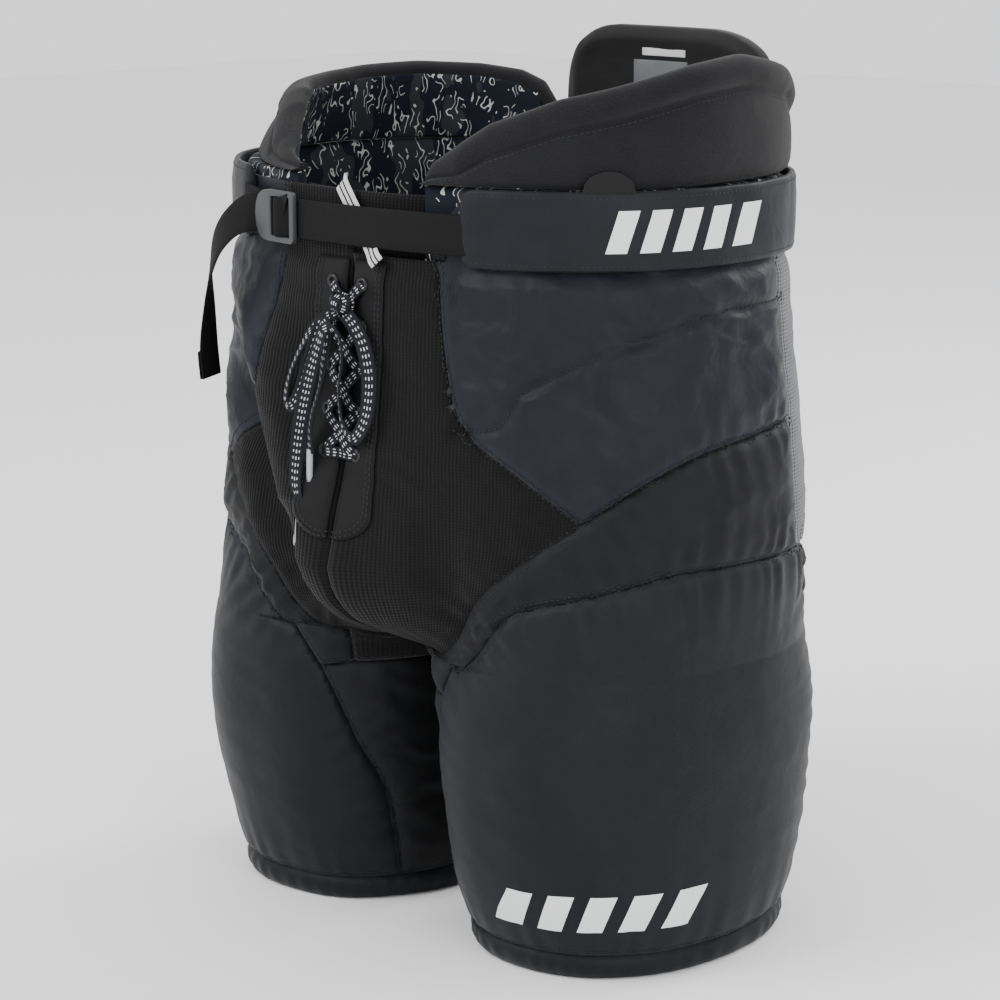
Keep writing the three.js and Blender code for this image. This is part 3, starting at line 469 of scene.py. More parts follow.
def new_piece(name, points, faces, slot, uv=None, seam=None, look=None):
    """A smooth-shaded mesh piece at the origin with its material, its own map and seam distances."""
    mesh = bpy.data.meshes.new(name)
    mesh.from_pydata([tuple(p) for p in points], [], [tuple(int(i) for i in f) for f in faces])
    if uv is not None:
        layer = mesh.uv_layers.new(name="flat")
        corners = np.zeros(len(mesh.loops), np.int32)
        mesh.loops.foreach_get("vertex_index", corners)
        layer.data.foreach_set("uv", np.asarray(uv, np.float32)[corners].ravel())
    attribute = mesh.attributes.new("seam", "FLOAT", "POINT")
    values = np.full(len(points), 1.0) if seam is None else np.asarray(seam)
    attribute.data.foreach_set("value", values.astype(np.float32))
    mesh.materials.append(MATERIALS[look or slot])
    mesh.polygons.foreach_set("use_smooth", [True] * len(mesh.polygons))
    piece = add_object(name, mesh)
    return piece


def recalculate(piece):
    """Turns every face of a closed piece outwards."""
    mesh = bmesh.new()
    mesh.from_mesh(piece.data)
    bmesh.ops.remove_doubles(mesh, verts=mesh.verts, dist=1e-6)
    bmesh.ops.recalc_face_normals(mesh, faces=mesh.faces)
    mesh.to_mesh(piece.data)
    mesh.free()
    return piece


def apply_modifiers(piece):
    depsgraph = bpy.context.evaluated_depsgraph_get()
    mesh = bpy.data.meshes.new_from_object(piece.evaluated_get(depsgraph))
    piece.modifiers.clear()
    piece.data = mesh
    return piece


def skin_faces(count, n, ring=False, first=0):
    """Quads between rings of n points each, and between the last and the first in a ring."""
    return [
        tuple(first + i % count * n + k % n for i, k in ((r, c), (r, c + 1), (r + 1, c + 1), (r + 1, c)))
        for r in range(count if ring else count - 1) for c in range(n)
    ]


def run_along(line):
    """The distance walked along a line at each of its points."""
    return np.concatenate([[0], np.cumsum(np.linalg.norm(np.diff(line, axis=0), axis=1))])


def smooth_line(points, count):
    """Points evenly spread along a smooth line through the given ones."""
    knots = np.asarray(points, float)
    p = np.asarray([2 * knots[0] - knots[1], *knots, 2 * knots[-1] - knots[-2]])
    t = np.linspace(0, 1, 40, endpoint=False)[:, None]
    fine = []
    for a, b, c, d in zip(p, p[1:], p[2:], p[3:]):
        square = 2 * a - 5 * b + 4 * c - d
        cube = 3 * b - a - 3 * c + d
        fine.append(0.5 * (2 * b + (c - a) * t + square * t**2 + cube * t**3))
    fine.append(p[-2][None])
    line = np.concatenate(fine)
    run = run_along(line)
    at = np.linspace(0, run[-1], count)
    return np.stack([np.interp(at, run, line[:, k]) for k in range(line.shape[1])], axis=1)


def length_of(line):
    return float(np.linalg.norm(np.diff(line, axis=0), axis=1).sum())


def loft(name, sections, slot, uv=None, look=None, ring=False, seam=None):
    """A closed skin over rings of points. Its ends are filled, or meet each other in a ring."""
    sections = np.asarray(sections)
    count, n = sections.shape[:2]
    points = sections.reshape(-1, 3)
    faces = skin_faces(count, n, ring)
    if not ring:
        faces += [tuple(range(n))[::-1], tuple((count - 1) * n + k for k in range(n))]
    uv = None if uv is None else np.asarray(uv).reshape(-1, 2)
    seam = None if seam is None else np.asarray(seam).ravel()
    return recalculate(new_piece(name, points, faces, slot, uv, seam, look))


# Half widths across and half thicknesses up
RIBBON_SECTION = [(-1, 0), (-0.94, 0.8), (-0.5, 1), (0, 1), (0.5, 1), (0.94, 0.8), (1, 0), (0.94, -0.8),
                  (0, -1), (-0.94, -0.8)]


def ribbon(name, line, facing, width, thickness, slot, look=None):
    """A flat woven band along a line, facing the given way at each point, with rounded edges."""
    line = np.asarray(line)
    count = len(line)
    tangent = unit(np.gradient(line, axis=0))
    facing = np.broadcast_to(np.asarray(facing, float), line.shape)
    across = unit(np.cross(facing, tangent))
    outward = np.cross(tangent, across)
    widths = np.broadcast_to(width, count) / 2
    run = run_along(line)
    half = thickness / 2
    sections = [[line[i] + across[i] * widths[i] * s + outward[i] * half * h for s, h in RIBBON_SECTION]
                for i in range(count)]
    uv = [[(widths[i] * s, run[i]) for s, _ in RIBBON_SECTION] for i in range(count)]
    seam = [[abs(abs(s) - 1) * float(np.max(widths)) for s, _ in RIBBON_SECTION]] * count
    return loft(name, sections, slot, uv, look, seam=seam)


SEED_STEP = 17.31


def noise_at(points, scale, seed):
    """Smooth noise from -1 to 1 at each point; scale may differ by axis."""
    spots = np.asarray(points) * np.asarray(scale) + seed * SEED_STEP
    return np.array([noise.noise(Vector(p)) for p in spots])


# Each leg swings about a line through the hip; here a half's cloth only has its transform baked and takes no
# share of the swing.
def swing(piece, side):
    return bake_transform(piece)


# ------------------------------------------------------------------ stitches

STITCH = {"Pitch": 0.0036, "Length": 0.0026, "Radius": 0.00042}
THREAD_LIFT = 0.0002


def stitch_tree():
    """Short sunk stitches along the edges of a mesh, each lying along the line."""
    tree = bpy.data.node_groups.new("stitch_line", "GeometryNodeTree")
    tree.interface.new_socket("Geometry", in_out="INPUT", socket_type="NodeSocketGeometry")
    for label, value in STITCH.items():
        socket = tree.interface.new_socket(label, in_out="INPUT", socket_type="NodeSocketFloat")
        socket.default_value = value
    tree.interface.new_socket("Thread", in_out="INPUT", socket_type="NodeSocketMaterial")
    tree.interface.new_socket("Geometry", in_out="OUTPUT", socket_type="NodeSocketGeometry")
    start = tree.nodes.new("NodeGroupInput").outputs
    end = tree.nodes.new("NodeGroupOutput").inputs
    curve = add_node(tree, "GeometryNodeMeshToCurve", {0: start["Geometry"]}).outputs[0]
    resample = {"Curve": curve, "Length": start["Pitch"]}
    spaced = add_node(tree, "GeometryNodeResampleCurve", resample, mode="LENGTH").outputs[0]
    tangent = add_node(tree, "GeometryNodeInputTangent").outputs[0]
    turn = add_node(tree, "FunctionNodeAlignRotationToVector", {"Vector": tangent}, axis="Z").outputs[0]
    bead = add_node(tree, "GeometryNodeMeshUVSphere", {"Segments": 6, "Rings": 4, "Radius": 1.0}).outputs[0]
    half = times(tree, start["Length"], 0.5)
    radius = start["Radius"]
    size = add_node(tree, "ShaderNodeCombineXYZ", {0: radius, 1: radius, 2: half}).outputs[0]
    shaped = add_node(tree, "GeometryNodeTransform", {"Geometry": bead, "Scale": size}).outputs[0]
    spread_out = {"Points": spaced, "Instance": shaped, "Rotation": turn}
    placed = add_node(tree, "GeometryNodeInstanceOnPoints", spread_out).outputs[0]
    real = add_node(tree, "GeometryNodeRealizeInstances", {0: placed}).outputs[0]
    smooth = add_node(tree, "GeometryNodeSetShadeSmooth", {0: real}).outputs[0]
    coloured = {"Geometry": smooth, "Material": start["Thread"]}
    made = add_node(tree, "GeometryNodeSetMaterial", coloured).outputs[0]
    tree.links.new(made, end[0])
    return tree


STITCHES = stitch_tree()


def sew(name, lines):
    """One piece of stitches along several lines of points."""
    mesh = bpy.data.meshes.new(name)
    points, edges = [], []
    for line in lines:
        first = len(points)
        points += [tuple(p) for p in line]
        edges += [(first + i, first + i + 1) for i in range(len(line) - 1)]
    mesh.from_pydata(points, edges, [])
    piece = add_object(name, mesh)
    modifier = piece.modifiers.new("stitches", "NODES")
    modifier.node_group = STITCHES
    sockets = {item.name: item.identifier for item in STITCHES.interface.items_tree}
    modifier[sockets["Thread"]] = MATERIALS["thread"]
    apply_modifiers(piece)
    seam = piece.data.attributes.new("seam", "FLOAT", "POINT")
    seam.data.foreach_set("value", [1.0] * len(piece.data.vertices))
    return piece


def laid_on(piece, line):
    """The line moved to the nearest places on a piece."""
    surface = BVHTree.FromObject(piece, bpy.context.evaluated_depsgraph_get())
    return [np.array(surface.find_nearest(Vector(p))[0]) for p in line]


# ------------------------------------------------------------------ lacing, made first

LACE_WIDTH = 0.0095
LACE_THICKNESS = 0.0013
ROUTES = {
    "right": [
        (-3.5, -153, 413.2), (-12, -155, 408), (-24, -156, 398), (-38, -157, 376), (-44, -158, 357),
        (-40, -159, 350), (-31, -159, 358), (-20, -159, 382), (-10, -160, 403), (-4, -163, 408),
        (0, -165, 398), (-6, -164, 370), (-16, -163, 345), (-18.5, -162, 324),
    ],
    "left": [
        (5.5, -153, 413.2), (14, -155, 408), (24, -156, 396), (30, -157, 376), (28, -158, 352),
        (18, -159, 337), (8, -159, 345), (6, -160, 366), (10, -161, 388), (11, -165, 402),
        (6, -171, 406), (0, -172, 393), (-12, -170, 366), (-22, -168, 336), (-28, -166, 306),
        (-26, -165, 292), (-28, -164, 281),
    ],
}
AGLET_LENGTH = 0.019
AGLET_OVERLAP = 0.002
AGLET_THICKNESS = 0.0030
AGLET_WIDTHS = [4.6] * 9 + [4.4, 4.0, 3.0]


def make_lace_end(side):
    """One half of the bow as a flat lace, with its sleeve at the end."""
    line = smooth_line(np.array(ROUTES[side]) * MM, 110)
    share = np.linspace(0, 1, len(line))
    lean = 0.9 * np.sin(2 * math.pi * (share * 1.5 + (0.1 if side == "left" else 0.45)))
    facing = unit(np.stack([lean, np.full_like(share, -1.0), 0.25 * np.cos(9 * share)], axis=1))
    lace = ribbon(f"lace_{side}", line, facing, LACE_WIDTH, LACE_THICKNESS, "lace")
    heading = unit(line[-1] - line[-3])
    tip = line[-1] + heading * AGLET_LENGTH
    root = line[-1] - heading * AGLET_OVERLAP
    sleeve_line = smooth_line([root, mix(line[-1], tip, 0.5), tip], len(AGLET_WIDTHS))
    taper = np.array(AGLET_WIDTHS) * MM
    sleeve = ribbon(f"aglet_{side}_sleeve", sleeve_line, facing[-1], taper, AGLET_THICKNESS, "aglet_plastic")
    for piece in (lace, sleeve):
        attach(piece, "hips")
    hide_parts(f"lace_end_{side}")
    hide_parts(f"aglet_{side}")


for side in SIDES:
    make_lace_end(side)

# ------------------------------------------------------------------ form of the body


# Half width and half depth: of the hips, the waist, the hem and the top of a leg
HIP_SIZE = (0.205, 0.150)
WAIST_SIZE = (0.190, 0.141)
HEM_SIZE = (0.082, 0.106)
THIGH_SIZE = (0.097, 0.137)
WAIST_POWER = 2 / 2.3
LEG_POWER = 2 / 2.35


def waist_sizes(z):
    taper = ease(((z - CROTCH) / RISE - 0.25) / 0.82)
    return [mix(hip, waist, taper) for hip, waist in zip(HIP_SIZE, WAIST_SIZE)]


def waist_point(turn, z, offset=0.0):
    """Points on the hips or the waist, offset outwards, for arrays of turns and heights."""
    turn, z = np.broadcast_arrays(np.asarray(turn, float), np.asarray(z, float))
    angle = math.pi * (turn - 0.5)
    power = WAIST_POWER
    half_width, half_depth = waist_sizes(z)
    c, s = np.cos(angle), np.sin(angle)
    slopes = [signed_power(c, 2 - power) / half_width, signed_power(s, 2 - power) / half_depth]
    outward = unit(np.stack(slopes, -1))
    x = half_width * signed_power(c, power) + outward[..., 0] * offset
    y = half_depth * signed_power(s, power) + outward[..., 1] * offset
    return np.stack([x, y, z], -1)


def near_inside(around):
    folded = np.abs((around + 0.5) % 1 - 0.5)
    return 1 - ease(folded / 0.3)


def body_point(around, z):
    """Points of the left half's plain form, before any cloth relief."""
    swell = np.sin(math.pi / 2 * np.clip(z / CROTCH, 0, 1))
    half_width, half_depth = [mix(hem, thigh, swell) for hem, thigh in zip(HEM_SIZE, THIGH_SIZE)]
    inside = KNEE_GAP / 2 * np.clip(1 - z / CROTCH, 0, 1) ** 0.7
    angle = math.pi * (1 + 2 * around)
    leg_x = inside + half_width * (1 + signed_power(np.cos(angle), LEG_POWER))
    leg_y = half_depth * signed_power(np.sin(angle), LEG_POWER)
    climb = np.clip((z - CROTCH) / CROTCH_BLEND, 0, 1)
    steep = (1 - (1 - climb) ** 3) ** (1 / 3)
    soft = ease((z - 0.120) / 0.19)
    merged = mix(soft, steep, near_inside(around))
    hip = waist_point(around, z)
    return np.stack([mix(leg_x, hip[..., 0], merged), mix(leg_y, hip[..., 1], merged), z], -1)


# ------------------------------------------------------------------ seams, as (around, share of the rise)

SIDE_LINE = 0.60
LEG_SIDE_LINE = 0.645
BACK_LINE = 0.8
INNER_LINE = [(0.0, 0.0), (-0.015, -0.1), (-0.05, -0.3), (-0.09, -0.5), (-0.09, -0.9)]
SEAMS = {
    "front_edge": [(0.085, 1.3), (0.107, 0.797), (0.128, 0.614), (0.195, 0.502), (0.268, 0.394)],
    "groin": [(0.268, 0.394), (0.21, 0.295), (0.155, 0.171), (0.135, 0.04), (0.13, -0.09)],
    "chevron": [(0.268, 0.394), (0.338, 0.478), (0.422, 0.542), (0.54, 0.578), (SIDE_LINE, 0.585)],
    "thigh_top": [(0.188, 0.02), (0.208, 0.135), (0.242, 0.18), (0.34, 0.235), (0.42, 0.262), (0.54, 0.255),
                  (SIDE_LINE, 0.247), (0.72, 0.22), (0.8, 0.16), (0.87, 0.02), (0.93, -0.07), (0.985, -0.1)],
    "thigh_inside": [(0.188, 0.02), (0.165, -0.1), (0.135, -0.3), (0.1, -0.5), (0.09, -0.9)],
    "gusset": [(0.165, -0.1), (0.13, -0.09), (0.06, -0.09), (-0.015, -0.1)],
    "side_front": [(SIDE_LINE, 1.3), (SIDE_LINE, 0.6), (SIDE_LINE, 0.247)],
    "side_back": [(0.8, 1.3), (0.8, 0.6), (0.8, 0.16)],
    "outseam": [(LEG_SIDE_LINE, 0.239), (LEG_SIDE_LINE, 0.0), (LEG_SIDE_LINE, -0.4), (LEG_SIDE_LINE, -0.9)],
    "inner_back": INNER_LINE,
    "front_middle": [(0.0, 0.0), (0.0, 0.6), (0.0, 1.3)],
    "back_middle": [(1.0, 0.0), (1.0, 0.6), (1.0, 1.3)],
    "quilt": [(0.12, 0.60), (0.173, 0.622), (0.2, 0.70), (0.255, 0.765), (0.355, 0.837), (0.46, 0.885),
              (SIDE_LINE, 0.89)],
}
STRETCH = 2.5  # how much longer a turn is than the rise, so that lines are spaced evenly


def flat_line(name, spacing=0.004):
    points = np.array(SEAMS[name]) * (STRETCH, 1)
    count = max(8, int(length_of(points) / spacing))
    return smooth_line(points, count) / (STRETCH, 1)


LINES = {name: flat_line(name) for name in SEAMS}


def panel_outlines():
    thigh = LINES["thigh_top"]
    front = thigh[thigh[:, 0] <= SIDE_LINE]
    side = thigh[(thigh[:, 0] >= SIDE_LINE) & (thigh[:, 0] <= BACK_LINE)]
    leg_front = thigh[thigh[:, 0] <= LEG_SIDE_LINE]
    leg_side = thigh[(thigh[:, 0] >= LEG_SIDE_LINE) & (thigh[:, 0] <= BACK_LINE)]
    back = thigh[thigh[:, 0] >= BACK_LINE]
    slit = LINES["inner_back"][LINES["inner_back"][:, 1] <= -0.1]
    return {
        "hip_panel": [LINES["front_edge"], LINES["chevron"], LINES["side_front"][::-1]],
        "mid_panel": [LINES["groin"], [(0.165, -0.1)], front, [(SIDE_LINE, 0.585)], LINES["chevron"][::-1]],
        "thigh_panel": [leg_front, LINES["outseam"], LINES["thigh_inside"][::-1]],
        "side_mesh": [LINES["side_front"], side, LINES["side_back"][::-1]],
        "seat_panel": [LINES["side_back"], back, [(1.1, -0.1), (1.1, 1.4), (BACK_LINE, 1.4)]],
        "back_leg_panel": [LINES["outseam"][::-1], leg_side, back, slit + (1, 0)],
        "inner_thigh": [LINES["gusset"], slit, LINES["thigh_inside"][::-1]],
    }


def inside_outline(points, outline):
    x, y = points.T
    hit = np.zeros(len(points), bool)
    for (x1, y1), (x2, y2) in zip(outline, np.roll(outline, -1, axis=0)):
        if y1 != y2:
            crosses = (y1 > y) != (y2 > y)
            hit ^= crosses & (x < (x2 - x1) * (y - y1) / (y2 - y1) + x1)
    return hit


# ------------------------------------------------------------------ the lattice of one half

COLUMNS = 224
LEG_ROWS = 66
MERGE_ROWS = 58
HIP_ROWS = 80
ROWS = LEG_ROWS + MERGE_ROWS + HIP_ROWS


def vertex_index(row, column):
    """The number of a lattice point: leg rows close on themselves, hip rows are open."""
    ring = row <= LEG_ROWS
    low = row * COLUMNS + column % COLUMNS
    high = (LEG_ROWS + 1) * COLUMNS + (row - LEG_ROWS - 1) * (COLUMNS + 1) + column
    return np.where(ring, low, high)


def lattice(top_of):
    """Around and height of every point, and the quads, of a half whose top edge is top_of(around)."""
    columns = np.arange(COLUMNS + 1) / COLUMNS
    rows = []
    for z in np.linspace(HEM_BAND, CROTCH, LEG_ROWS + 1):
        rows.append((columns[:-1], np.full(COLUMNS, z)))
    inner = near_inside(columns)
    for t in np.arange(1, MERGE_ROWS + 1) / MERGE_ROWS:
        arch = 1 - (1 - t**3) ** (1 / 3)
        rows.append((columns, CROTCH + CROTCH_BLEND * mix(t, arch, inner)))
    for t in np.arange(1, HIP_ROWS + 1) / HIP_ROWS:
        rows.append((columns, mix(CROTCH + CROTCH_BLEND, top_of(columns), t)))
    around = np.concatenate([r[0] for r in rows])
    height = np.concatenate([r[1] for r in rows])
    row, column = [g.ravel() for g in np.meshgrid(np.arange(ROWS), np.arange(COLUMNS), indexing="ij")]
    quads = np.stack([vertex_index(row, column), vertex_index(row, column + 1),
                      vertex_index(row + 1, column + 1), vertex_index(row + 1, column)], axis=1)
    spots = np.stack([(column + 0.5) / COLUMNS,
                      (height[quads[:, 0]] + height[quads[:, 3]]) / 2], axis=1)
    return around, height, quads, spots


def normals_of(points, quads):
    mesh = bpy.data.meshes.new("form")
    mesh.from_pydata([tuple(p) for p in points], [], [tuple(int(i) for i in q) for q in quads])
    normals = np.zeros(len(points) * 3, np.float32)
    mesh.vertex_normals.foreach_get("vector", normals)
    bpy.data.meshes.remove(mesh)
    return normals.reshape(-1, 3).astype(float)


class SeamFinder:
    """Finds how far points are from the nearest seam of a half, which one it is and where on it."""

    def __init__(self, side_sign, names):
        self.points, self.names, self.run = [], [], []
        for name in names:
            line = LINES[name]
            z = CROTCH + line[:, 1] * RISE
            keep = z >= 0
            spots = body_point(line[keep, 0], z[keep])
            spots[:, 0] *= side_sign
            fine = smooth_line(spots, max(8, int(length_of(spots) / 0.0012)))
            self.points.append(fine)
            self.run.append(np.linspace(0, length_of(fine), len(fine)))
            self.names += [name] * len(fine)
        self.points = np.concatenate(self.points)
        self.run = np.concatenate(self.run)
        self.names = np.array(self.names)
        self.tree = kdtree.KDTree(len(self.points))
        for i, p in enumerate(self.points):
            self.tree.insert(p, i)
        self.tree.balance()

    def nearest(self, points):
        found = [self.tree.find(p) for p in points]
        index = np.array([f[1] for f in found])
        return np.array([f[2] for f in found]), index


# ------------------------------------------------------------------ relief of the cloth

PILLOW = {
    "crotch_panel": 0.0015, "hip_panel": 0.0045, "mid_panel": 0.0045, "thigh_panel": 0.0045,
    "side_mesh": 0.002, "seat_panel": 0.003, "back_leg_panel": 0.005, "inner_thigh": 0.003,
}
WRINKLE = {
    "crotch_panel": 0.0014, "hip_panel": 0.0032, "mid_panel": 0.0022, "thigh_panel": 0.0006,
    "side_mesh": 0.0012, "seat_panel": 0.0020, "back_leg_panel": 0.0020, "inner_thigh": 0.0020,
}
PUCKER = {
    "thigh_top": 0.0024, "chevron": 0.0016, "outseam": 0.0020, "groin": 0.0016, "front_edge": 0.0010,
    "thigh_inside": 0.0014, "quilt": 0.0014, "hem": 0.0012,
}
# Height and x of the edge where the pushed-out fly meets the sunk right groin
POUCH_EDGE = [(0.15, -0.010), (0.218, -0.010), (0.255, -0.024), (0.306, -0.053), (0.347, -0.079),
              (0.377, -0.091), (0.43, -0.098), (0.50, -0.100)]
TUCK_FOOT = 0.436
TUCK_TALL = 0.014


def above_tuck(z):
    """0 on the loose cloth and 1 where it lies flat below the belt."""
    return ease((z - TUCK_FOOT) / TUCK_TALL)


def broad_form(points):
    """The slack shapes of the whole garment, outwards: the pushed-out fly and the sunk right groin."""
    x, y, z = points.T
    front = ease((-y - 0.01) / 0.07)
    middle = 0.012 * bell(x, -0.012, 0.065) * bell(z, 0.245, 0.048)
    edge_x = np.interp(z, *np.array(POUCH_EDGE).T)
    past = edge_x - x
    crest = 0.010 * bell(past, -0.012, 0.030) * ease((z - 0.20) / 0.06) * ease((0.44 - z) / 0.07)
    across = ease(past / 0.028) * ease((0.085 - past) / 0.05)
    sunk = -0.022 * across * ease((z - 0.19) / 0.05) * ease((0.41 - z) / 0.08)
    left_fold = -0.006 * bell(x, 0.075, 0.02) * bell(z, 0.24, 0.05)
    waist_pull = -0.004 * bell(z, 0.452, 0.012)
    slack = 0.0035 * noise_at(points, (9, 9, 7), 1) + 0.0015 * noise_at(points, (24, 24, 16), 2)
    return (front * (middle + crest + sunk + left_fold) + waist_pull + slack) * (1 - above_tuck(z))


PUCKER_PITCH = 0.0165
TUCK_DEPTH = 0.0006


def cloth_relief(points, panel, distance, seam_name, run, quilt_distance):
    """Outward shift of every point: filling, sewn-in seams, puckers and wrinkles."""
    pillow = np.array([PILLOW[p] for p in panel]) * (1 - np.exp(-distance / 0.016))
    valley = -0.0018 * bell(distance, 0, 0.0028)
    away = 1 - np.exp(-distance / 0.004)
    depth = np.array([PUCKER.get(n, 0.0008) for n in seam_name])
    wander = noise_at(np.stack([run * 30, run * 0, run * 0], 1), 1.0, 5)
    strength = 0.55 + 0.9 * noise_at(np.stack([run * 22, run * 0 + 3, run * 0], 1), 1.0, 6)
    phase = 2 * math.pi * (run / PUCKER_PITCH + 0.9 * wander)
    puckers = depth * strength * np.sin(phase) * away * np.exp(-distance / 0.020)
    slope = points @ np.array([[1, 0, 0.25], [0, 1, 0.25], [0.3, 0, 1]])
    ridge = 1 - 2 * np.abs(noise_at(slope, (20, 20, 48), 7))
    small = 1 - 2 * np.abs(noise_at(slope, (55, 55, 90), 8))
    wrinkles = np.array([WRINKLE[p] for p in panel]) * (0.75 * ridge + 0.3 * small)
    wrinkles *= 1 - np.exp(-distance / 0.012)
    quilt = -0.0030 * bell(quilt_distance, 0, 0.0035)
    flat = above_tuck(points[:, 2])
    return (pillow + valley + puckers + wrinkles + quilt) * (1 - flat) - TUCK_DEPTH * flat


PANEL_SLOTS = {
    "crotch_panel": "knit", "hip_panel": "satin", "mid_panel": "nylon", "thigh_panel": "twill",
    "side_mesh": "side_mesh", "seat_panel": "knit", "back_leg_panel": "nylon", "inner_thigh": "nylon",
}
CLOTH = 0.0022
UV_TURN = 0.62  # metres of cloth in a turn of the pattern


RIGHT_TOP = 0.488
FOLD_TOP = 0.449
FOLD_END = 0.105
FOLD_RUN = 0.03
MIDDLE_WIDTH = 0.0004
SEAM_SNAP = 0.004


def top_edge(side, around):
    """The height of the shell's top: the left front corner is folded down by the fly."""
    if side == "right":
        return np.full_like(around, RIGHT_TOP)
    return mix(FOLD_TOP, SHELL_TOP, ease((around - FOLD_END) / FOLD_RUN))


def make_half(side):
    """The sewn outer of one half, panel by panel. Returns the surface that later pieces lie on."""
    sign = SIDES[side]
    around, height, quads, spots = lattice(lambda columns: top_edge(side, columns))
    points = body_point(around, height)
    points[:, 0] *= sign
    place = np.stack([spots[:, 0], (spots[:, 1] - CROTCH) / RISE], axis=1)
    panel = np.full(len(quads), "crotch_panel", dtype="U16")
    for name, parts in panel_outlines().items():
        outline = np.concatenate([np.asarray(p, float) for p in parts])
        hit = inside_outline(place, outline) | inside_outline(place - (1, 0), outline)
        panel[hit & (panel == "crotch_panel")] = name

    seams = SeamFinder(sign, [n for n in SEAMS if n != "quilt"])
    distance, index = seams.nearest(points)
    kinds = {name: k for k, name in enumerate(PANEL_SLOTS)}
    panel_number = np.array([kinds[p] for p in panel])
    least = np.full(len(points), 99)
    most = np.full(len(points), -1)
    for corner in range(4):
        np.minimum.at(least, quads[:, corner], panel_number)
        np.maximum.at(most, quads[:, corner], panel_number)
    between = (least != most) & (distance < SEAM_SNAP)
    points[between] = seams.points[index[between]]
    distance[between] = 0
    if sign < 0:
        quads = quads[:, ::-1]
    normals = normals_of(points, quads)
    hip_start = (LEG_ROWS + 1) * COLUMNS
    middle = np.abs(points[:, 0]) < MIDDLE_WIDTH
    middle[:hip_start] = False
    normals[middle, 0] = 0
    normals = unit(normals)
    crotch = LEG_ROWS * COLUMNS
    normals[crotch] = (0, 0, -1)

    names = np.array(list(PANEL_SLOTS))
    vertex_panel = names[most]
    above_hem = height - HEM_BAND
    at_hem = above_hem < distance
    distance = np.where(at_hem, above_hem, distance)
    seam_name = np.where(at_hem, "hem", seams.names[index])
    run = np.where(at_hem, around * UV_TURN, seams.run[index])
    quilt = SeamFinder(sign, ["quilt"])
    quilt_distance, _ = quilt.nearest(points)
    relief = cloth_relief(points, vertex_panel, distance, seam_name, run, quilt_distance)
    points = points + normals * (broad_form(points) + relief)[:, None]
    points[:, 0] = np.where(sign * points[:, 0] < 0, 0, points[:, 0])
    points[middle, 0] = 0
    surface = BVHTree.FromPolygons([Vector(p) for p in points], [tuple(int(i) for i in q) for q in quads])
    uv_all = np.stack([around * UV_TURN, height], axis=1)

    for name, slot in PANEL_SLOTS.items():
        mine = quads[panel == name]
        used, local = np.unique(mine, return_inverse=True)
        uv = uv_all[used].copy()
        if name in ("inner_thigh", "crotch_panel"):
            uv[:, 0] = np.where(uv[:, 0] > 0.5 * UV_TURN, uv[:, 0] - UV_TURN, uv[:, 0])
        look = "plain_twill" if slot == "twill" and side == "right" else slot
        faces = local.reshape(-1, 4)
        piece = new_piece(f"{name}_{side}_cloth", points[used], faces, slot, uv, distance[used], look)
        wall = piece.modifiers.new("cloth", "SOLIDIFY")
        wall.thickness = CLOTH
        wall.offset = -1
        apply_modifiers(piece)
        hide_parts(f"{name}_{side}")
        swing(piece, side)
    return surface


LEAST_ADVANCE = 0.0006


def offset_line(side, name, aside):
    """A line beside a seam, lying on the cloth, without the places where it would double back."""
    surface = surfaces[side]
    line = LINES[name]
    z = CROTCH + line[:, 1] * RISE
    keep = (z >= HEM_BAND + 0.002) & (z <= SHELL_TOP - 0.003)
    spots = body_point(line[keep, 0], z[keep])
    spots[:, 0] *= SIDES[side]
    fine = smooth_line(spots, max(8, int(length_of(spots) / 0.0018)))
    tangent = unit(np.gradient(fine, axis=0))
    result = []
    for point, along in zip(fine, tangent):
        spot, normal, _, _ = surface.find_nearest(Vector(point))
        sideways = normal.cross(Vector(along)).normalized()
        spot, normal, _, _ = surface.find_nearest(spot + sideways * aside)
        spot = spot + normal * THREAD_LIFT
        if not result or (spot - result[-1]).dot(Vector(along)) > LEAST_ADVANCE:
            result.append(spot)
    return [np.array(p) for p in result]


surfaces = {side: make_half(side) for side in SIDES}

# Each seam with a row of stitches beside it, and how far aside
SEAM_ROWS = [
    ("thigh_top", 0.0032), ("thigh_top", -0.0032), ("chevron", 0.003), ("chevron", -0.003), ("groin", 0.003),
    ("front_edge", 0.003), ("front_edge", -0.003), ("outseam", 0.003), ("thigh_inside", 0.003),
    ("side_front", 0.003), ("side_back", 0.003), ("quilt", 0.0), ("gusset", 0.003), ("inner_back", 0.003),
]
for side in SIDES:
    rows = [offset_line(side, name, aside) for name, aside in SEAM_ROWS]
    swing(sew(f"seam_stitches_{side}", rows), side)

# ------------------------------------------------------------------ closed pads and bands


def rounded_section(inner, outer, foot, head, swell=0.0):
    """A rounded rectangle of (offset, height) points with crowned faces, 32 in all."""
    half_depth, half_height = (outer - inner) / 2, (head - foot) / 2
    centre_depth, centre_height = (outer + inner) / 2, (head + foot) / 2
    points = []
    for k in range(32):
        angle = 2 * math.pi * (k + 0.5) / 32
        c, s = math.cos(angle), math.sin(angle)
        power = 2 / 5
        depth = half_depth * math.copysign(abs(c) ** power, c)
        height = half_height * math.copysign(abs(s) ** power, s)
        crown = swell * (1 - (height / max(half_height, 1e-6)) ** 2)
        points.append((centre_depth + depth + math.copysign(crown, c), centre_height + height))
    return points


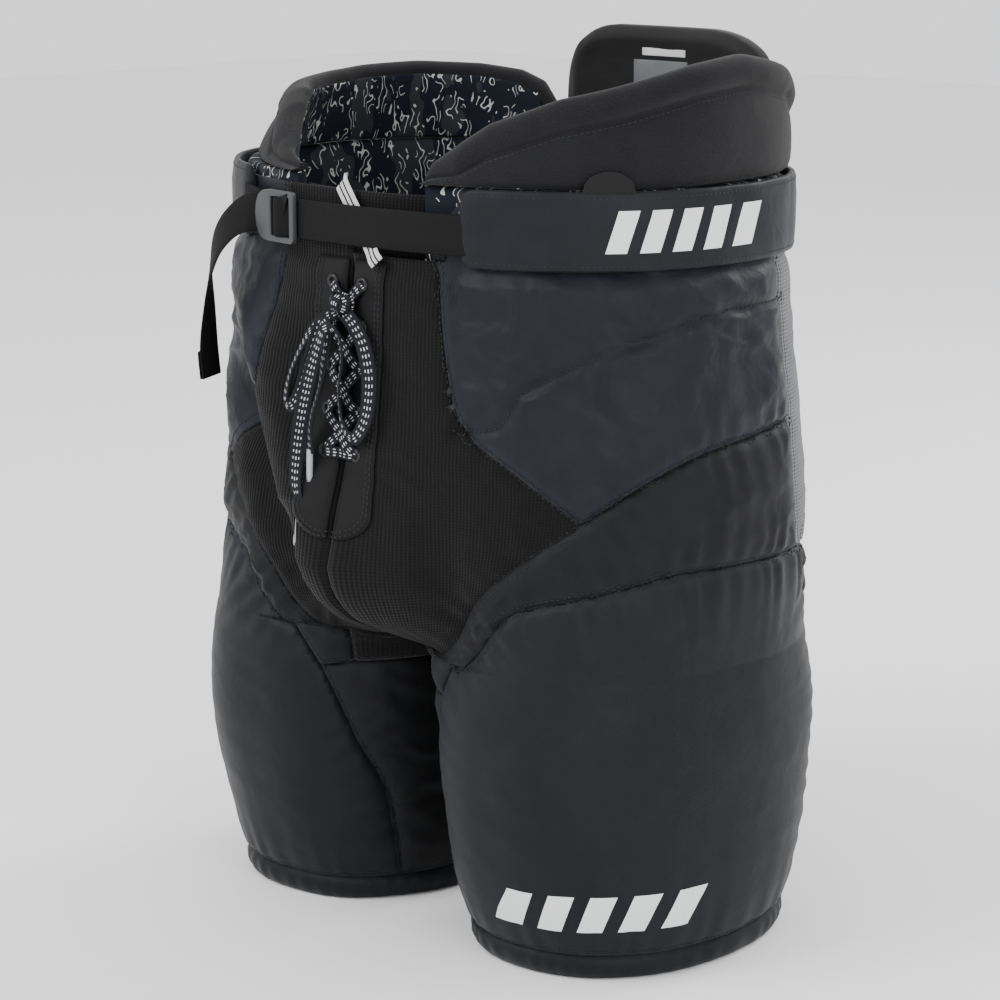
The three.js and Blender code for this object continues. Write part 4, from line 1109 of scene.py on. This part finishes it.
def band(name, turns, section_of, slot, wrinkle=0.0, look=None, sign=1):
    """A padded band that follows the waist: section_of gives (offset, height) points at a turn."""
    sections, uv = [], []
    for turn in turns:
        section = np.array(section_of(turn))
        sections.append(waist_point(turn, section[:, 1], section[:, 0]))
        uv.append([(turn * UV_TURN, h) for h in section[:, 1]])
    sections = np.array(sections)
    sections[..., 0] *= sign
    if wrinkle:
        flat = sections.reshape(-1, 3)
        outward = unit(flat * (1, 1, 0))
        rough = noise_at(flat, (26, 26, 40), 11) + 0.5 * noise_at(flat, (70, 70, 90), 12)
        sections = (flat + outward * (wrinkle * rough)[:, None]).reshape(sections.shape)
    return loft(name, sections, slot, uv, look)


def spread(start, stop, step=0.006, ends=4):
    """Turns from start to stop, closer together at both ends."""
    t = np.linspace(0, 1, int((stop - start) / step) + 2 * ends)
    angle = math.pi * (0.5 - t)
    return mix(start, stop, 0.5 - 0.5 * np.sin(angle) * (1 + 0.12 * np.cos(angle) ** 2))


def end_round(turn, start, stop, run, power=2.6):
    """How full a band is near its ends: 0 at the very end and 1 past the rounded run."""
    near = np.clip(min(turn - start, stop - turn) / run, 0, 1)
    return max(0.02, (1 - (1 - near) ** power) ** (1 / power))


# Kidney pads ------------------------------------------------------

KIDNEY_TOP = {
    "left": [(0.08, 500), (0.09, 509), (0.13, 524), (0.16, 534), (0.245, 549), (0.318, 556), (0.43, 568),
             (0.508, 573), (0.63, 563), (0.74, 541), (0.80, 520), (0.822, 503)],
    "right": [(0.08, 500), (0.12, 508), (0.16, 521), (0.20, 533), (0.25, 541), (0.36, 544), (0.46, 545),
              (0.56, 548), (0.68, 549), (0.78, 547), (0.84, 543), (0.87, 536), (0.886, 522)],
}
KIDNEY_LEAN = [(0.08, 4), (0.12, 10), (0.16, 20), (0.20, 29), (0.25, 36), (0.31, 36), (0.41, 32), (0.46, 28),
               (0.56, 20), (0.68, 9), (0.78, 3), (0.886, 0)]
KIDNEY_FOOT = 0.4955
RIM = 0.020


def kidney_top(side, turn):
    table = np.array(KIDNEY_TOP[side])
    return float(np.interp(turn, table[:, 0], table[:, 1])) * MM


def kidney_roll(side, turn):
    """How tall the rolled rim is."""
    return min(RIM, 0.75 * (kidney_top(side, turn) - KIDNEY_FOOT))


def kidney_lean(side, turn, height):
    """How far inwards the pad has slumped: only the right one does."""
    if side == "left":
        return 0.0
    lean = float(np.interp(turn, *np.array(KIDNEY_LEAN).T)) * MM
    rise = (height - KIDNEY_FOOT) / max(kidney_top(side, turn) - KIDNEY_FOOT, 0.02)
    return lean * (0.3 + 0.7 * min(1.0, max(0.0, rise)))


def kidney_section(side, turn):
    """The pad's section: a flat body, a sewn valley and a thick rolled rim on the outside."""
    top = kidney_top(side, turn)
    tall = top - KIDNEY_FOOT
    roll = kidney_roll(side, turn)
    r = roll / 2
    body = tall - roll
    outer = [(-0.0005, 0.0), (0.0018, 0.12), (0.0028, 0.35), (0.0028, 0.6), (0.0018, 0.85), (0.0, 0.97)]
    points = [(o, KIDNEY_FOOT + h * body) for o, h in outer]
    for k in range(12):
        angle = math.radians(-62 + k * 20.5)
        points.append((-0.0050 + (r - 0.0005) * math.cos(angle), top - r + r * math.sin(angle)))
    inner = [(-0.0105, 0.95), (-0.0125, 0.7), (-0.0128, 0.4), (-0.0122, 0.15), (-0.0112, 0.0)]
    points += [(o, KIDNEY_FOOT + h * max(body, 0.1 * tall)) for o, h in inner]
    return [(o - kidney_lean(side, turn, h), h) for o, h in points]


def tip_kidney(piece):
    """Bakes the piece's transform where it stands: the foot stays sewn to the shell and nothing tips out
    here.
    """
    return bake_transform(piece)


def make_kidney(side):
    sign = SIDES[side]
    first, last = KIDNEY_TOP[side][0][0], KIDNEY_TOP[side][-1][0]
    pad = band(f"kidney_pad_{side}_cloth", spread(first, last), lambda t: kidney_section(side, t), "heather",
               0.0008, sign=sign)
    soft = pad.modifiers.new("soft", "SUBSURF")
    soft.levels = soft.render_levels = 1
    apply_modifiers(pad)
    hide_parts(f"kidney_pad_{side}")
    tip_kidney(pad)

    def lining_section(turn):
        head = max(kidney_top(side, turn) - 0.0085, KIDNEY_FOOT + 0.003)
        section = rounded_section(-0.0142, -0.0105, KIDNEY_FOOT + 0.0006, head)
        return [(o - kidney_lean(side, turn, h), h) for o, h in section]

    turns = spread(first + 0.012, last - 0.012)
    lining = band(f"kidney_lining_{side}", turns, lining_section, "liner", 0.0006, sign=sign)
    tip_kidney(lining)

    line = []
    for turn in spread(first + 0.008, last - 0.008, 0.003):
        height = kidney_top(side, turn) - kidney_roll(side, turn) - 0.0022
        spot = waist_point(turn, height, 0.0022 - kidney_lean(side, turn, height))
        line.append(spot * (sign, 1, 1))
    tip_kidney(sew(f"kidney_stitches_{side}", [laid_on(pad, line)]))


for side in SIDES:
    make_kidney(side)

# Spine pad --------------------------------------------------------

SPINE_MIDDLE = 0.965
SPINE_HALF = 0.14
SPINE_FOOT = 0.4962
SPINE_HEAD = 0.5758
SPINE_MID_DEPTH = 0.0073
SPINE_THICKNESS = 0.0135


def tip_spine(piece):
    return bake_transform(piece)


def spine_section(turn):
    """A slab with a thick rounded rim on its inner face, lower towards both sides."""
    aside = min(1.0, abs(turn - SPINE_MIDDLE) / SPINE_HALF)
    start = 0.20 if turn < SPINE_MIDDLE else 0.50
    corner = max(0.0, (aside - start) / (1 - start))
    top = SPINE_HEAD - 0.040 * (1 - math.sqrt(max(0.0, 1 - corner**2.2)))
    half = SPINE_THICKNESS / 2 * max(0.08, 1 - aside**7) ** 0.5
    lean = 0.004 * ease((SPINE_MIDDLE - turn - 0.05) / 0.09)
    points = []
    inner, outer = SPINE_MID_DEPTH - half, SPINE_MID_DEPTH + half
    for depth, height in rounded_section(inner, outer, SPINE_FOOT, top, swell=0.0012):
        share = (height - SPINE_FOOT) / (top - SPINE_FOOT)
        rolled = max(bell(height, top - 0.008, 0.006), bell(aside, 0.90, 0.07))
        if depth < SPINE_MID_DEPTH:
            depth -= 0.0032 * rolled * (1 - aside**8)
        points.append((depth + lean * share, height))
    return points


spine_turns = spread(SPINE_MIDDLE - SPINE_HALF, SPINE_MIDDLE + SPINE_HALF, 0.004)
spine = band("spine_pad_skin", spine_turns, spine_section, "black_foam", 0.0007)
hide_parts("spine_pad")
tip_spine(spine)


def hinge_section(turn):
    """Cloth sewn to the shell below and to the pad's inner face above."""
    return [(depth + 0.0030 * ease((height - 0.489) / 0.012), height)
            for depth, height in rounded_section(-0.0052, -0.0032, 0.4820, 0.5100)]


hinge = band("spine_hinge_cloth", spread(0.832, 1.098, 0.006), hinge_section, "black_foam", 0.0003)
tip_spine(hinge)


def tag_section(turn):
    return rounded_section(-0.0010, 0.0002, 0.5235, 0.5530)


tag = band("size_tag_cloth", np.linspace(0.955, 1.015, 14), tag_section, "tag")
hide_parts("size_tag")
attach(tag, "spine")
label = band("blank_label", np.linspace(0.958, 1.006, 10),
             lambda turn: rounded_section(-0.0009, 0.0003, 0.5560, 0.5620), "tape", look="white_label")
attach(label, "spine")

# Belt covers ------------------------------------------------------

COVER_FRONT = {"left": 0.130, "right": 0.168}
COVER_BACK = 0.93
COVER_FOOT = 0.4473
COVER_THICKNESS = 0.0052
COVER_STITCHES = (0.4915, 0.4505)


def make_cover(side):
    start = COVER_FRONT[side]

    def section(turn):
        full = end_round(turn, start, COVER_BACK, 0.022)
        middle = (COVER_FOOT + COVER_TOP) / 2
        half = (COVER_TOP - COVER_FOOT) / 2 * mix(0.55, 1, full)
        thick = COVER_THICKNESS * mix(0.5, 1, full)
        return rounded_section(0.0004, 0.0004 + thick, middle - half, middle + half, swell=0.0010)

    cover = band(f"belt_cover_{side}_cloth", spread(start, COVER_BACK, 0.004), section, "satin", 0.0009,
                 look="cover_satin", sign=SIDES[side])
    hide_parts(f"belt_cover_{side}")
    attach(cover, "hips")
    turns = np.arange(start + 0.014, COVER_BACK - 0.012, 0.003)
    lines = [laid_on(cover, [waist_point(t, height, 0.007) * (SIDES[side], 1, 1) for t in turns])
             for height in COVER_STITCHES]
    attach(sew(f"cover_stitches_{side}", lines), "hips")


for side in SIDES:
    make_cover(side)

# Padding inside the waist -----------------------------------------


def make_inner_pads(side):
    sign = SIDES[side]
    back = 0.82 if side == "left" else 0.885
    pieces = [
        ("waist_padding", f"kidney_base_{side}", 0.08, back, (-0.0150, -0.0034), (0.4478, 0.4945)),
        ("hip_padding", f"hip_foam_{side}", 0.30, 0.70, (-0.0185, -0.0040), (0.2920, 0.4455)),
    ]
    for name, node, start, stop, (inner, outer), (foot, head) in pieces:
        def section(turn, start=start, stop=stop, inner=inner, outer=outer, foot=foot, head=head):
            full = end_round(turn, start, stop, 0.02)
            thick = (outer - inner) * full
            return rounded_section(outer - thick, outer, foot, head)

        pad = band(f"{name}_{side}", spread(start, stop, 0.008), section, "liner", 0.0006, sign=sign)
        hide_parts(node)
        if name == "hip_padding":
            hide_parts(f"hip_guard_{side}")
            swing(pad, side)
        else:
            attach(pad, "hips")


for side in SIDES:
    make_inner_pads(side)


def tail_section(turn):
    full = end_round(turn, 0.9, 1.1, 0.02)
    return rounded_section(-0.0140 * full - 0.0005, -0.0032, 0.3375, 0.4460)


tail_cushion = band("tail_cushion", spread(0.9, 1.1, 0.008), tail_section, "liner", 0.0006)
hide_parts("tail_pad")
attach(tail_cushion, "hips")

# Legs: hem bands and linings --------------------------------------


HEM_RIPPLES = 46


def leg_ring(name, section, slot, side, count=COLUMNS, rough=0.0, look=None):
    """A closed ring round a leg: section is a list of (offset, height) points."""
    around = np.arange(count) / count
    mirror = (SIDES[side], 1, 1)
    sections, uv = [], []
    for offset, z in section:
        z_all = np.full(count, z)
        spot = body_point(around, z_all) * mirror
        ahead = body_point(around + 0.002, z_all) - body_point(around - 0.002, z_all)
        outward = unit(np.stack([ahead[:, 1], -ahead[:, 0], 0 * around], 1)) * mirror
        phase = 2 * math.pi * (around * HEM_RIPPLES + 0.7 * noise_at(spot, 30, 4))
        ripple = rough * bell(z, 0.008, 0.006) * np.sin(phase)
        sections.append(spot + outward * (offset + broad_form(spot) + ripple)[:, None])
        uv.append(np.stack([around * UV_TURN, z_all], 1))
    sections = np.array(sections).transpose(1, 0, 2)
    uv = np.array(uv).transpose(1, 0, 2)
    return loft(name, sections, slot, uv, look, ring=True)


HEM_STITCHES = 0.0205
HEM_SECTION = [
    (-0.0016, 0.0164), (0.0006, 0.0148), (0.0018, 0.0120), (0.0021, 0.0085), (0.0016, 0.0048),
    (0.0002, 0.0018), (-0.0020, 0.0003), (-0.0050, 0.0003), (-0.0078, 0.0020), (-0.0088, 0.0060),
    (-0.0090, 0.0130), (-0.0090, 0.0200), (-0.0060, 0.0205), (-0.0035, 0.0190),
]
LINING_SECTION = [(-0.0045, 0.018), (-0.0120, 0.0165), (-0.0165, 0.0200), (-0.0172, 0.030)] + [
    (-0.0172 - 0.0012 * math.sin(math.pi * k / 2) ** 2, 0.04 + 0.0125 * k) for k in range(9)
] + [(-0.0150, 0.1500), (-0.0090, 0.1530), (-0.0045, 0.1500), (-0.0042, 0.09)]


def make_leg_inside(side):
    hem = leg_ring(f"hem_band_{side}_cloth", HEM_SECTION, "twill", side, rough=0.0006, look="plain_twill")
    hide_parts(f"hem_band_{side}")
    swing(hem, side)
    lining = leg_ring(f"leg_lining_{side}", LINING_SECTION, "liner", side, count=COLUMNS // 2)
    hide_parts(f"leg_liner_{side}", f"thigh_foam_{side}", f"thigh_guard_{side}")
    swing(lining, side)
    line = []
    for around in np.arange(0, 1.0001, 0.0026):
        spot = body_point(np.array([around]), np.array([HEM_STITCHES]))[0] * (SIDES[side], 1, 1)
        near, normal, _, _ = surfaces[side].find_nearest(Vector(spot))
        line.append(np.array(near + normal * THREAD_LIFT))
    swing(sew(f"hem_stitches_{side}", [line]), side)


for side in SIDES:
    make_leg_inside(side)

# Belt -------------------------------------------------------------

WEBBING = 0.0016
WEBBING_WIDTH = 0.025


# Turn and offset from the waist: the strap's hump through the buckle, and the anchor's run
STRAP_HUMP = [(-0.066, 0.0052), (-0.074, 0.0085), (-0.084, 0.0125), (-0.093, 0.0085), (-0.100, 0.0052),
              (-0.118, 0.0050)]
ANCHOR_ROUTE = [(-0.176, 0.0062), (-0.160, 0.0056), (-0.140, 0.0050), (-0.122, 0.0047), (-0.105, 0.0046)]
FACING_SHARE = (0.5, 1, 0)


def add_webbing():
    strap = [(t, 0.0050) for t in np.linspace(0.140, -0.055, 18)] + STRAP_HUMP
    line = smooth_line([waist_point(t, BELT_MIDDLE, o) for t, o in strap], 120)
    facing = unit(line * FACING_SHARE)
    belt = ribbon("belt_strap_webbing", line, facing, WEBBING_WIDTH, WEBBING, "webbing")
    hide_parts("belt_strap")
    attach(belt, "hips")
    line = smooth_line([waist_point(t, BELT_MIDDLE, o) for t, o in ANCHOR_ROUTE], 40)
    widths = np.interp(np.linspace(0, 1, 40), [0, 0.5, 1], [0.034, 0.029, 0.021])
    facing = unit(line * FACING_SHARE)
    anchor = ribbon("belt_anchor_webbing", line, facing, widths, WEBBING, "webbing")
    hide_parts("belt_anchor")
    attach(anchor, "hips")


FOLD_POINTS = 12
TAIL_ROUTE = [
    (-73, -138.4, 468), (-84, -139.6, 468), (-95, -143.5, 466), (-107, -147, 458), (-119, -147.5, 444),
    (-130, -144, 422), (-138, -138.5, 398), (-142, -135.5, 374), (-141, -134.5, 354),
]


def add_tail():
    line = smooth_line(np.array(TAIL_ROUTE) * MM, 90)
    share = np.linspace(0, 1, len(line))
    angle = np.radians(27) + 0.75 * ease((share - 0.15) / 0.8)
    facing = np.stack([-np.sin(angle), -np.cos(angle), 0.0 * share], 1)
    tail = ribbon("belt_tail_webbing", line, facing, WEBBING_WIDTH, WEBBING, "webbing")
    fold_facing = facing[-FOLD_POINTS:]
    fold_line = line[-FOLD_POINTS:] + unit(fold_facing) * (WEBBING * 1.02)
    fold = ribbon("belt_tail_fold", fold_line, fold_facing, WEBBING_WIDTH * 0.99, WEBBING, "webbing")
    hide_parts("belt_tail")
    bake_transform(tail)
    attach(fold, "belt_tail")


def add_buckle():
    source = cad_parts["buckle"].data
    mesh = bmesh.new()
    mesh.from_mesh(source)
    bmesh.ops.remove_doubles(mesh, verts=mesh.verts, dist=2e-5)
    bmesh.ops.dissolve_limit(mesh, angle_limit=math.radians(2), verts=mesh.verts, edges=mesh.edges)
    made = bpy.data.meshes.new("buckle_frame")
    mesh.to_mesh(made)
    mesh.free()
    made.materials.clear()
    made.materials.append(MATERIALS["buckle_plastic"])
    buckle = add_object("buckle_frame", made)
    edge = buckle.modifiers.new("edges", "BEVEL")
    edge.width = 0.0009
    edge.segments = 3
    edge.limit_method = "ANGLE"
    edge.angle_limit = math.radians(25)
    apply_modifiers(buckle)
    for polygon in buckle.data.polygons:
        polygon.use_smooth = True
    buckle.data.set_sharp_from_angle(angle=math.radians(35))
    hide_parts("buckle")
    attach(buckle, "buckle")


add_webbing()
add_tail()
add_buckle()

# Fly: tongue, plackets, tape, eyelets, lacing ---------------------


FLY_GAP = 0.0006
FRONT_SPAN = 0.42  # about how many metres of X make one turn at the front


def front_y(x, z):
    """Where the sewn cloth's face is, in Y, at a place of the front."""
    side = "left" if x >= 0 else "right"
    x = x if abs(x) > FLY_GAP else math.copysign(FLY_GAP, x or 1)
    hit = surfaces[side].ray_cast(Vector((x, -0.4, z)), Vector((0, 1, 0)))[0]
    if hit is None:
        return float(waist_point(x / FRONT_SPAN, z)[1])
    return hit.y


def front_sheet(name, outline, offset, thickness, slot, columns=18, rows=60, look=None, still=False):
    """A closed layer on the front: outline(v) gives both edges at a height share, and its height by x.

    A still layer follows the plain waist and not the cloth.
    """
    points, uv = [], []
    for layer in (1, 0):
        for r in range(rows + 1):
            v = r / rows
            left, right, z_of = outline(v)
            for c in range(columns + 1):
                u = c / columns
                x = mix(left, right, u)
                z = z_of(x)
                y = float(waist_point(abs(x) / FRONT_SPAN, z)[1]) if still else front_y(x, z)
                edge = min(u, 1 - u, v * 3, (1 - v) * 3) * (right - left) / 0.0025
                puff = 0.4 + 0.6 * min(1.0, edge) ** 0.5
                points.append((x, y - offset - layer * thickness * puff, z))
                uv.append((x, z))
    n = (rows + 1) * (columns + 1)

    def index(layer, r, c):
        return layer * n + r * (columns + 1) + c

    faces = []
    for r in range(rows):
        for c in range(columns):
            for layer in (0, 1):
                faces.append((index(layer, r, c), index(layer, r, c + 1), index(layer, r + 1, c + 1),
                              index(layer, r + 1, c)))
        for c in (0, columns):
            faces.append((index(0, r, c), index(0, r + 1, c), index(1, r + 1, c), index(1, r, c)))
    for c in range(columns):
        for r in (0, rows):
            faces.append((index(0, r, c), index(1, r, c), index(1, r, c + 1), index(0, r, c + 1)))
    return recalculate(new_piece(name, points, faces, slot, uv, None, look))


PLACKET_INNER = 0.0025
PLACKET_OUTER = 0.0295
PLACKET_TOP = 0.4455
PLACKET_LIFT = 0.0006
PLACKET_CLOTH = 0.0020
PLACKET_ROUND = 0.020


def placket_foot(x):
    share = min(1.0, abs(x) / PLACKET_OUTER)
    return FLY_FOOT + PLACKET_ROUND * (1 - math.sqrt(1 - 0.93 * share**2))


def placket_face(x, z):
    return front_y(x, z) - PLACKET_LIFT - PLACKET_CLOTH


def make_placket(side):
    sign = SIDES[side]

    def outline(v):
        edges = sorted((sign * PLACKET_INNER, sign * PLACKET_OUTER))
        return edges[0], edges[1], lambda x: mix(placket_foot(x), PLACKET_TOP, v)

    placket = front_sheet(f"fly_placket_{side}_cloth", outline, PLACKET_LIFT, PLACKET_CLOTH, "knit",
                          look="placket_cloth")
    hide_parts(f"fly_placket_{side}")
    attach(placket, "hips")
    lines = []
    for inset in (0.0022, 0.0052):
        reach = sign * (PLACKET_OUTER - inset)
        centre = FLY_FOOT + 0.019 + inset * 0.3
        drop = 0.019 - inset * 0.7
        edge = [(reach, z) for z in np.arange(PLACKET_TOP - 0.003, FLY_FOOT + PLACKET_ROUND, -0.002)]
        edge += [(reach * math.cos(a), centre - drop * math.sin(a)) for a in np.linspace(0.05, 1.48, 16)]
        lines.append([np.array((x, placket_face(x, z) - 0.0001, z)) for x, z in edge])
    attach(sew(f"fly_stitches_{side}", lines), "hips")


for side in SIDES:
    make_placket(side)


def tongue_outline(v):
    return -0.054, 0.058, lambda x: mix(0.405, 0.4875, v)


tongue = front_sheet("fly_tongue_cloth", tongue_outline, -0.0055, 0.0022, "knit", columns=40, rows=24,
                     still=True)
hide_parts("fly_tongue")
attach(tongue, "hips")

TAPE_WIDTH = 0.011
TAPE_ROUTE = [(-9, -138.5, 492.5), (-7, -142.5, 491.5), (0, -143.2, 482), (10, -143.4, 468),
              (19, -144.2, 455), (25, -147.5, 449.5), (28, -147.2, 446)]
tape_line = smooth_line(np.array(TAPE_ROUTE) * MM, 50)
tape = ribbon("waist_tape_cloth", tape_line, (0.1, -1, 0.05), TAPE_WIDTH, 0.0009, "tape")
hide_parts("waist_tape")
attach(tape, "hips")

# Radius and lift of an eyelet's ring, in millimetres
EYELET_PROFILE = [(2.2, -0.2), (2.4, 0.7), (3.0, 1.15), (3.8, 1.15), (4.4, 0.8), (4.6, 0.1), (4.0, -0.6),
                  (2.6, -0.9)]
EYELET_SIDES = 28
EYELET_ROWS = 5
EYELET_X = 0.013
EYELET_START = 0.054
EYELET_PITCH = 0.0265


def eyelet_height(row):
    return FLY_FOOT + EYELET_START + row * EYELET_PITCH


def make_eyelets(side):
    points, faces = [], []
    for row in range(EYELET_ROWS):
        x, z = SIDES[side] * EYELET_X, eyelet_height(row)
        y = placket_face(x, z)
        faces += skin_faces(EYELET_SIDES, len(EYELET_PROFILE), ring=True, first=len(points))
        for k in range(EYELET_SIDES):
            angle = 2 * math.pi * k / EYELET_SIDES
            c, s = MM * math.cos(angle), MM * math.sin(angle)
            points += [(x + radius * c, y - lift * MM, z + radius * s) for radius, lift in EYELET_PROFILE]
    rings = recalculate(new_piece(f"eyelets_{side}", points, faces, "eyelet_plastic"))
    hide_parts(*[f"eyelet_{side}_{row + 1}" for row in range(EYELET_ROWS)])
    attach(rings, "hips")


for side in SIDES:
    make_eyelets(side)


CROSSING_WIDTH = 0.0075
KNOT_WIDTH = 0.0072
KNOT_CENTRE = (0.001, -0.1515, 0.4190)
KNOT_WRAPS = [(0.0085, 0.0050, 0.35), (0.0080, 0.0058, -0.45), (0.0058, 0.0066, 1.35)]  # wide, deep, lean


def crossing_line(start_sign, start_row, end_sign, end_row, lift):
    """The lace from one eyelet to another, over the plackets and down into both holes."""
    spots = []
    for t in np.linspace(0, 1, 9):
        x = mix(start_sign, end_sign, t) * EYELET_X
        z = mix(eyelet_height(start_row), eyelet_height(end_row), t)
        rise = 0.0012 + (0.0014 + lift) * math.sin(math.pi * t)
        sink = 0.0022 * (1 - min(1, min(t, 1 - t) / 0.1))
        spots.append((x, placket_face(x, z) - rise + sink, z))
    return smooth_line(spots, 26)


def add_lacing():
    def lace(name, line, facing, width=CROSSING_WIDTH):
        made.append(ribbon(name, line, facing, width, LACE_THICKNESS, "lace"))

    made = []
    lace("lace_crossing_foot", crossing_line(-1, 0, 1, 0, 0), (0, -1, 0))
    for row in range(EYELET_ROWS - 1):
        for sign, order, lift in ((-1, "under", 0.0), (1, "over", 0.0017)):
            line = crossing_line(sign, row, -sign, row + 1, lift)
            lace(f"lace_crossing_{row}_{order}", line, (0, -1, 0.1))
    angle = np.linspace(0.2, 2 * math.pi * 0.97, 40)
    for k, (wide, deep, lean) in enumerate(KNOT_WRAPS):
        c, s = np.cos(angle), np.sin(angle)
        tilt = np.array((math.cos(lean), 0, math.sin(lean)))
        line = np.array(KNOT_CENTRE) + wide * c[:, None] * tilt + deep * s[:, None] * (0, 1, 0)
        facing = c[:, None] * tilt + 1.4 * s[:, None] * (0, 1, 0)
        lace(f"lace_knot_wrap_{k}", line, unit(facing), KNOT_WIDTH)
    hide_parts("lace_crossings")
    for piece in made:
        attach(piece, "hips")


add_lacing()


# Small half-round pull tab above the left cover
TAB_MIDDLE = 0.31
TAB_HALF = 0.034


def tab_section(turn):
    share = min(1.0, abs(turn - TAB_MIDDLE) / TAB_HALF)
    return rounded_section(0.0030, 0.0052, 0.4935, 0.4945 + 0.0125 * math.sqrt(max(0.0, 1 - share**2)))


tab_turns = np.linspace(TAB_MIDDLE - TAB_HALF, TAB_MIDDLE + TAB_HALF, 22)
tab = band("pull_tab", tab_turns, tab_section, "black_foam")
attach(tab, "hips")


def make_floor():
    mesh = bpy.data.meshes.new("floor")
    mesh.from_pydata([(-6, -6, 0), (6, -6, 0), (6, 6, 0), (-6, 6, 0)], [], [(0, 1, 2, 3)])
    floor = add_object("floor", mesh)
    material, _, shader = new_material("pale_floor", 0.8)
    shader.inputs["Base Color"].default_value = (0.92, 0.92, 0.92, 1)
    mesh.materials.append(material)


def add_light(name, place, aim, size, power):
    data = bpy.data.lights.new(name, "AREA")
    data.size = size
    data.energy = power
    light = add_object(name, data)
    light.location = place
    light.rotation_euler = (Vector(place) - Vector(aim)).to_track_quat("Z", "Y").to_euler()


def make_studio():
    make_floor()
    world = bpy.data.worlds.new("studio")
    world.use_nodes = True
    world.node_tree.nodes["Background"].inputs[0].default_value = (1, 1, 1, 1)
    world.node_tree.nodes["Background"].inputs[1].default_value = 1.35
    bpy.context.scene.world = world
    centre = (0, 0, 0.28)
    add_light("key", (-0.9, -2.2, 2.2), centre, 1.4, 60)
    add_light("fill", (2.6, -0.9, 1.2), centre, 1.8, 35)
    add_light("rim", (0.6, 2.4, 1.9), centre, 1.2, 45)


make_studio()
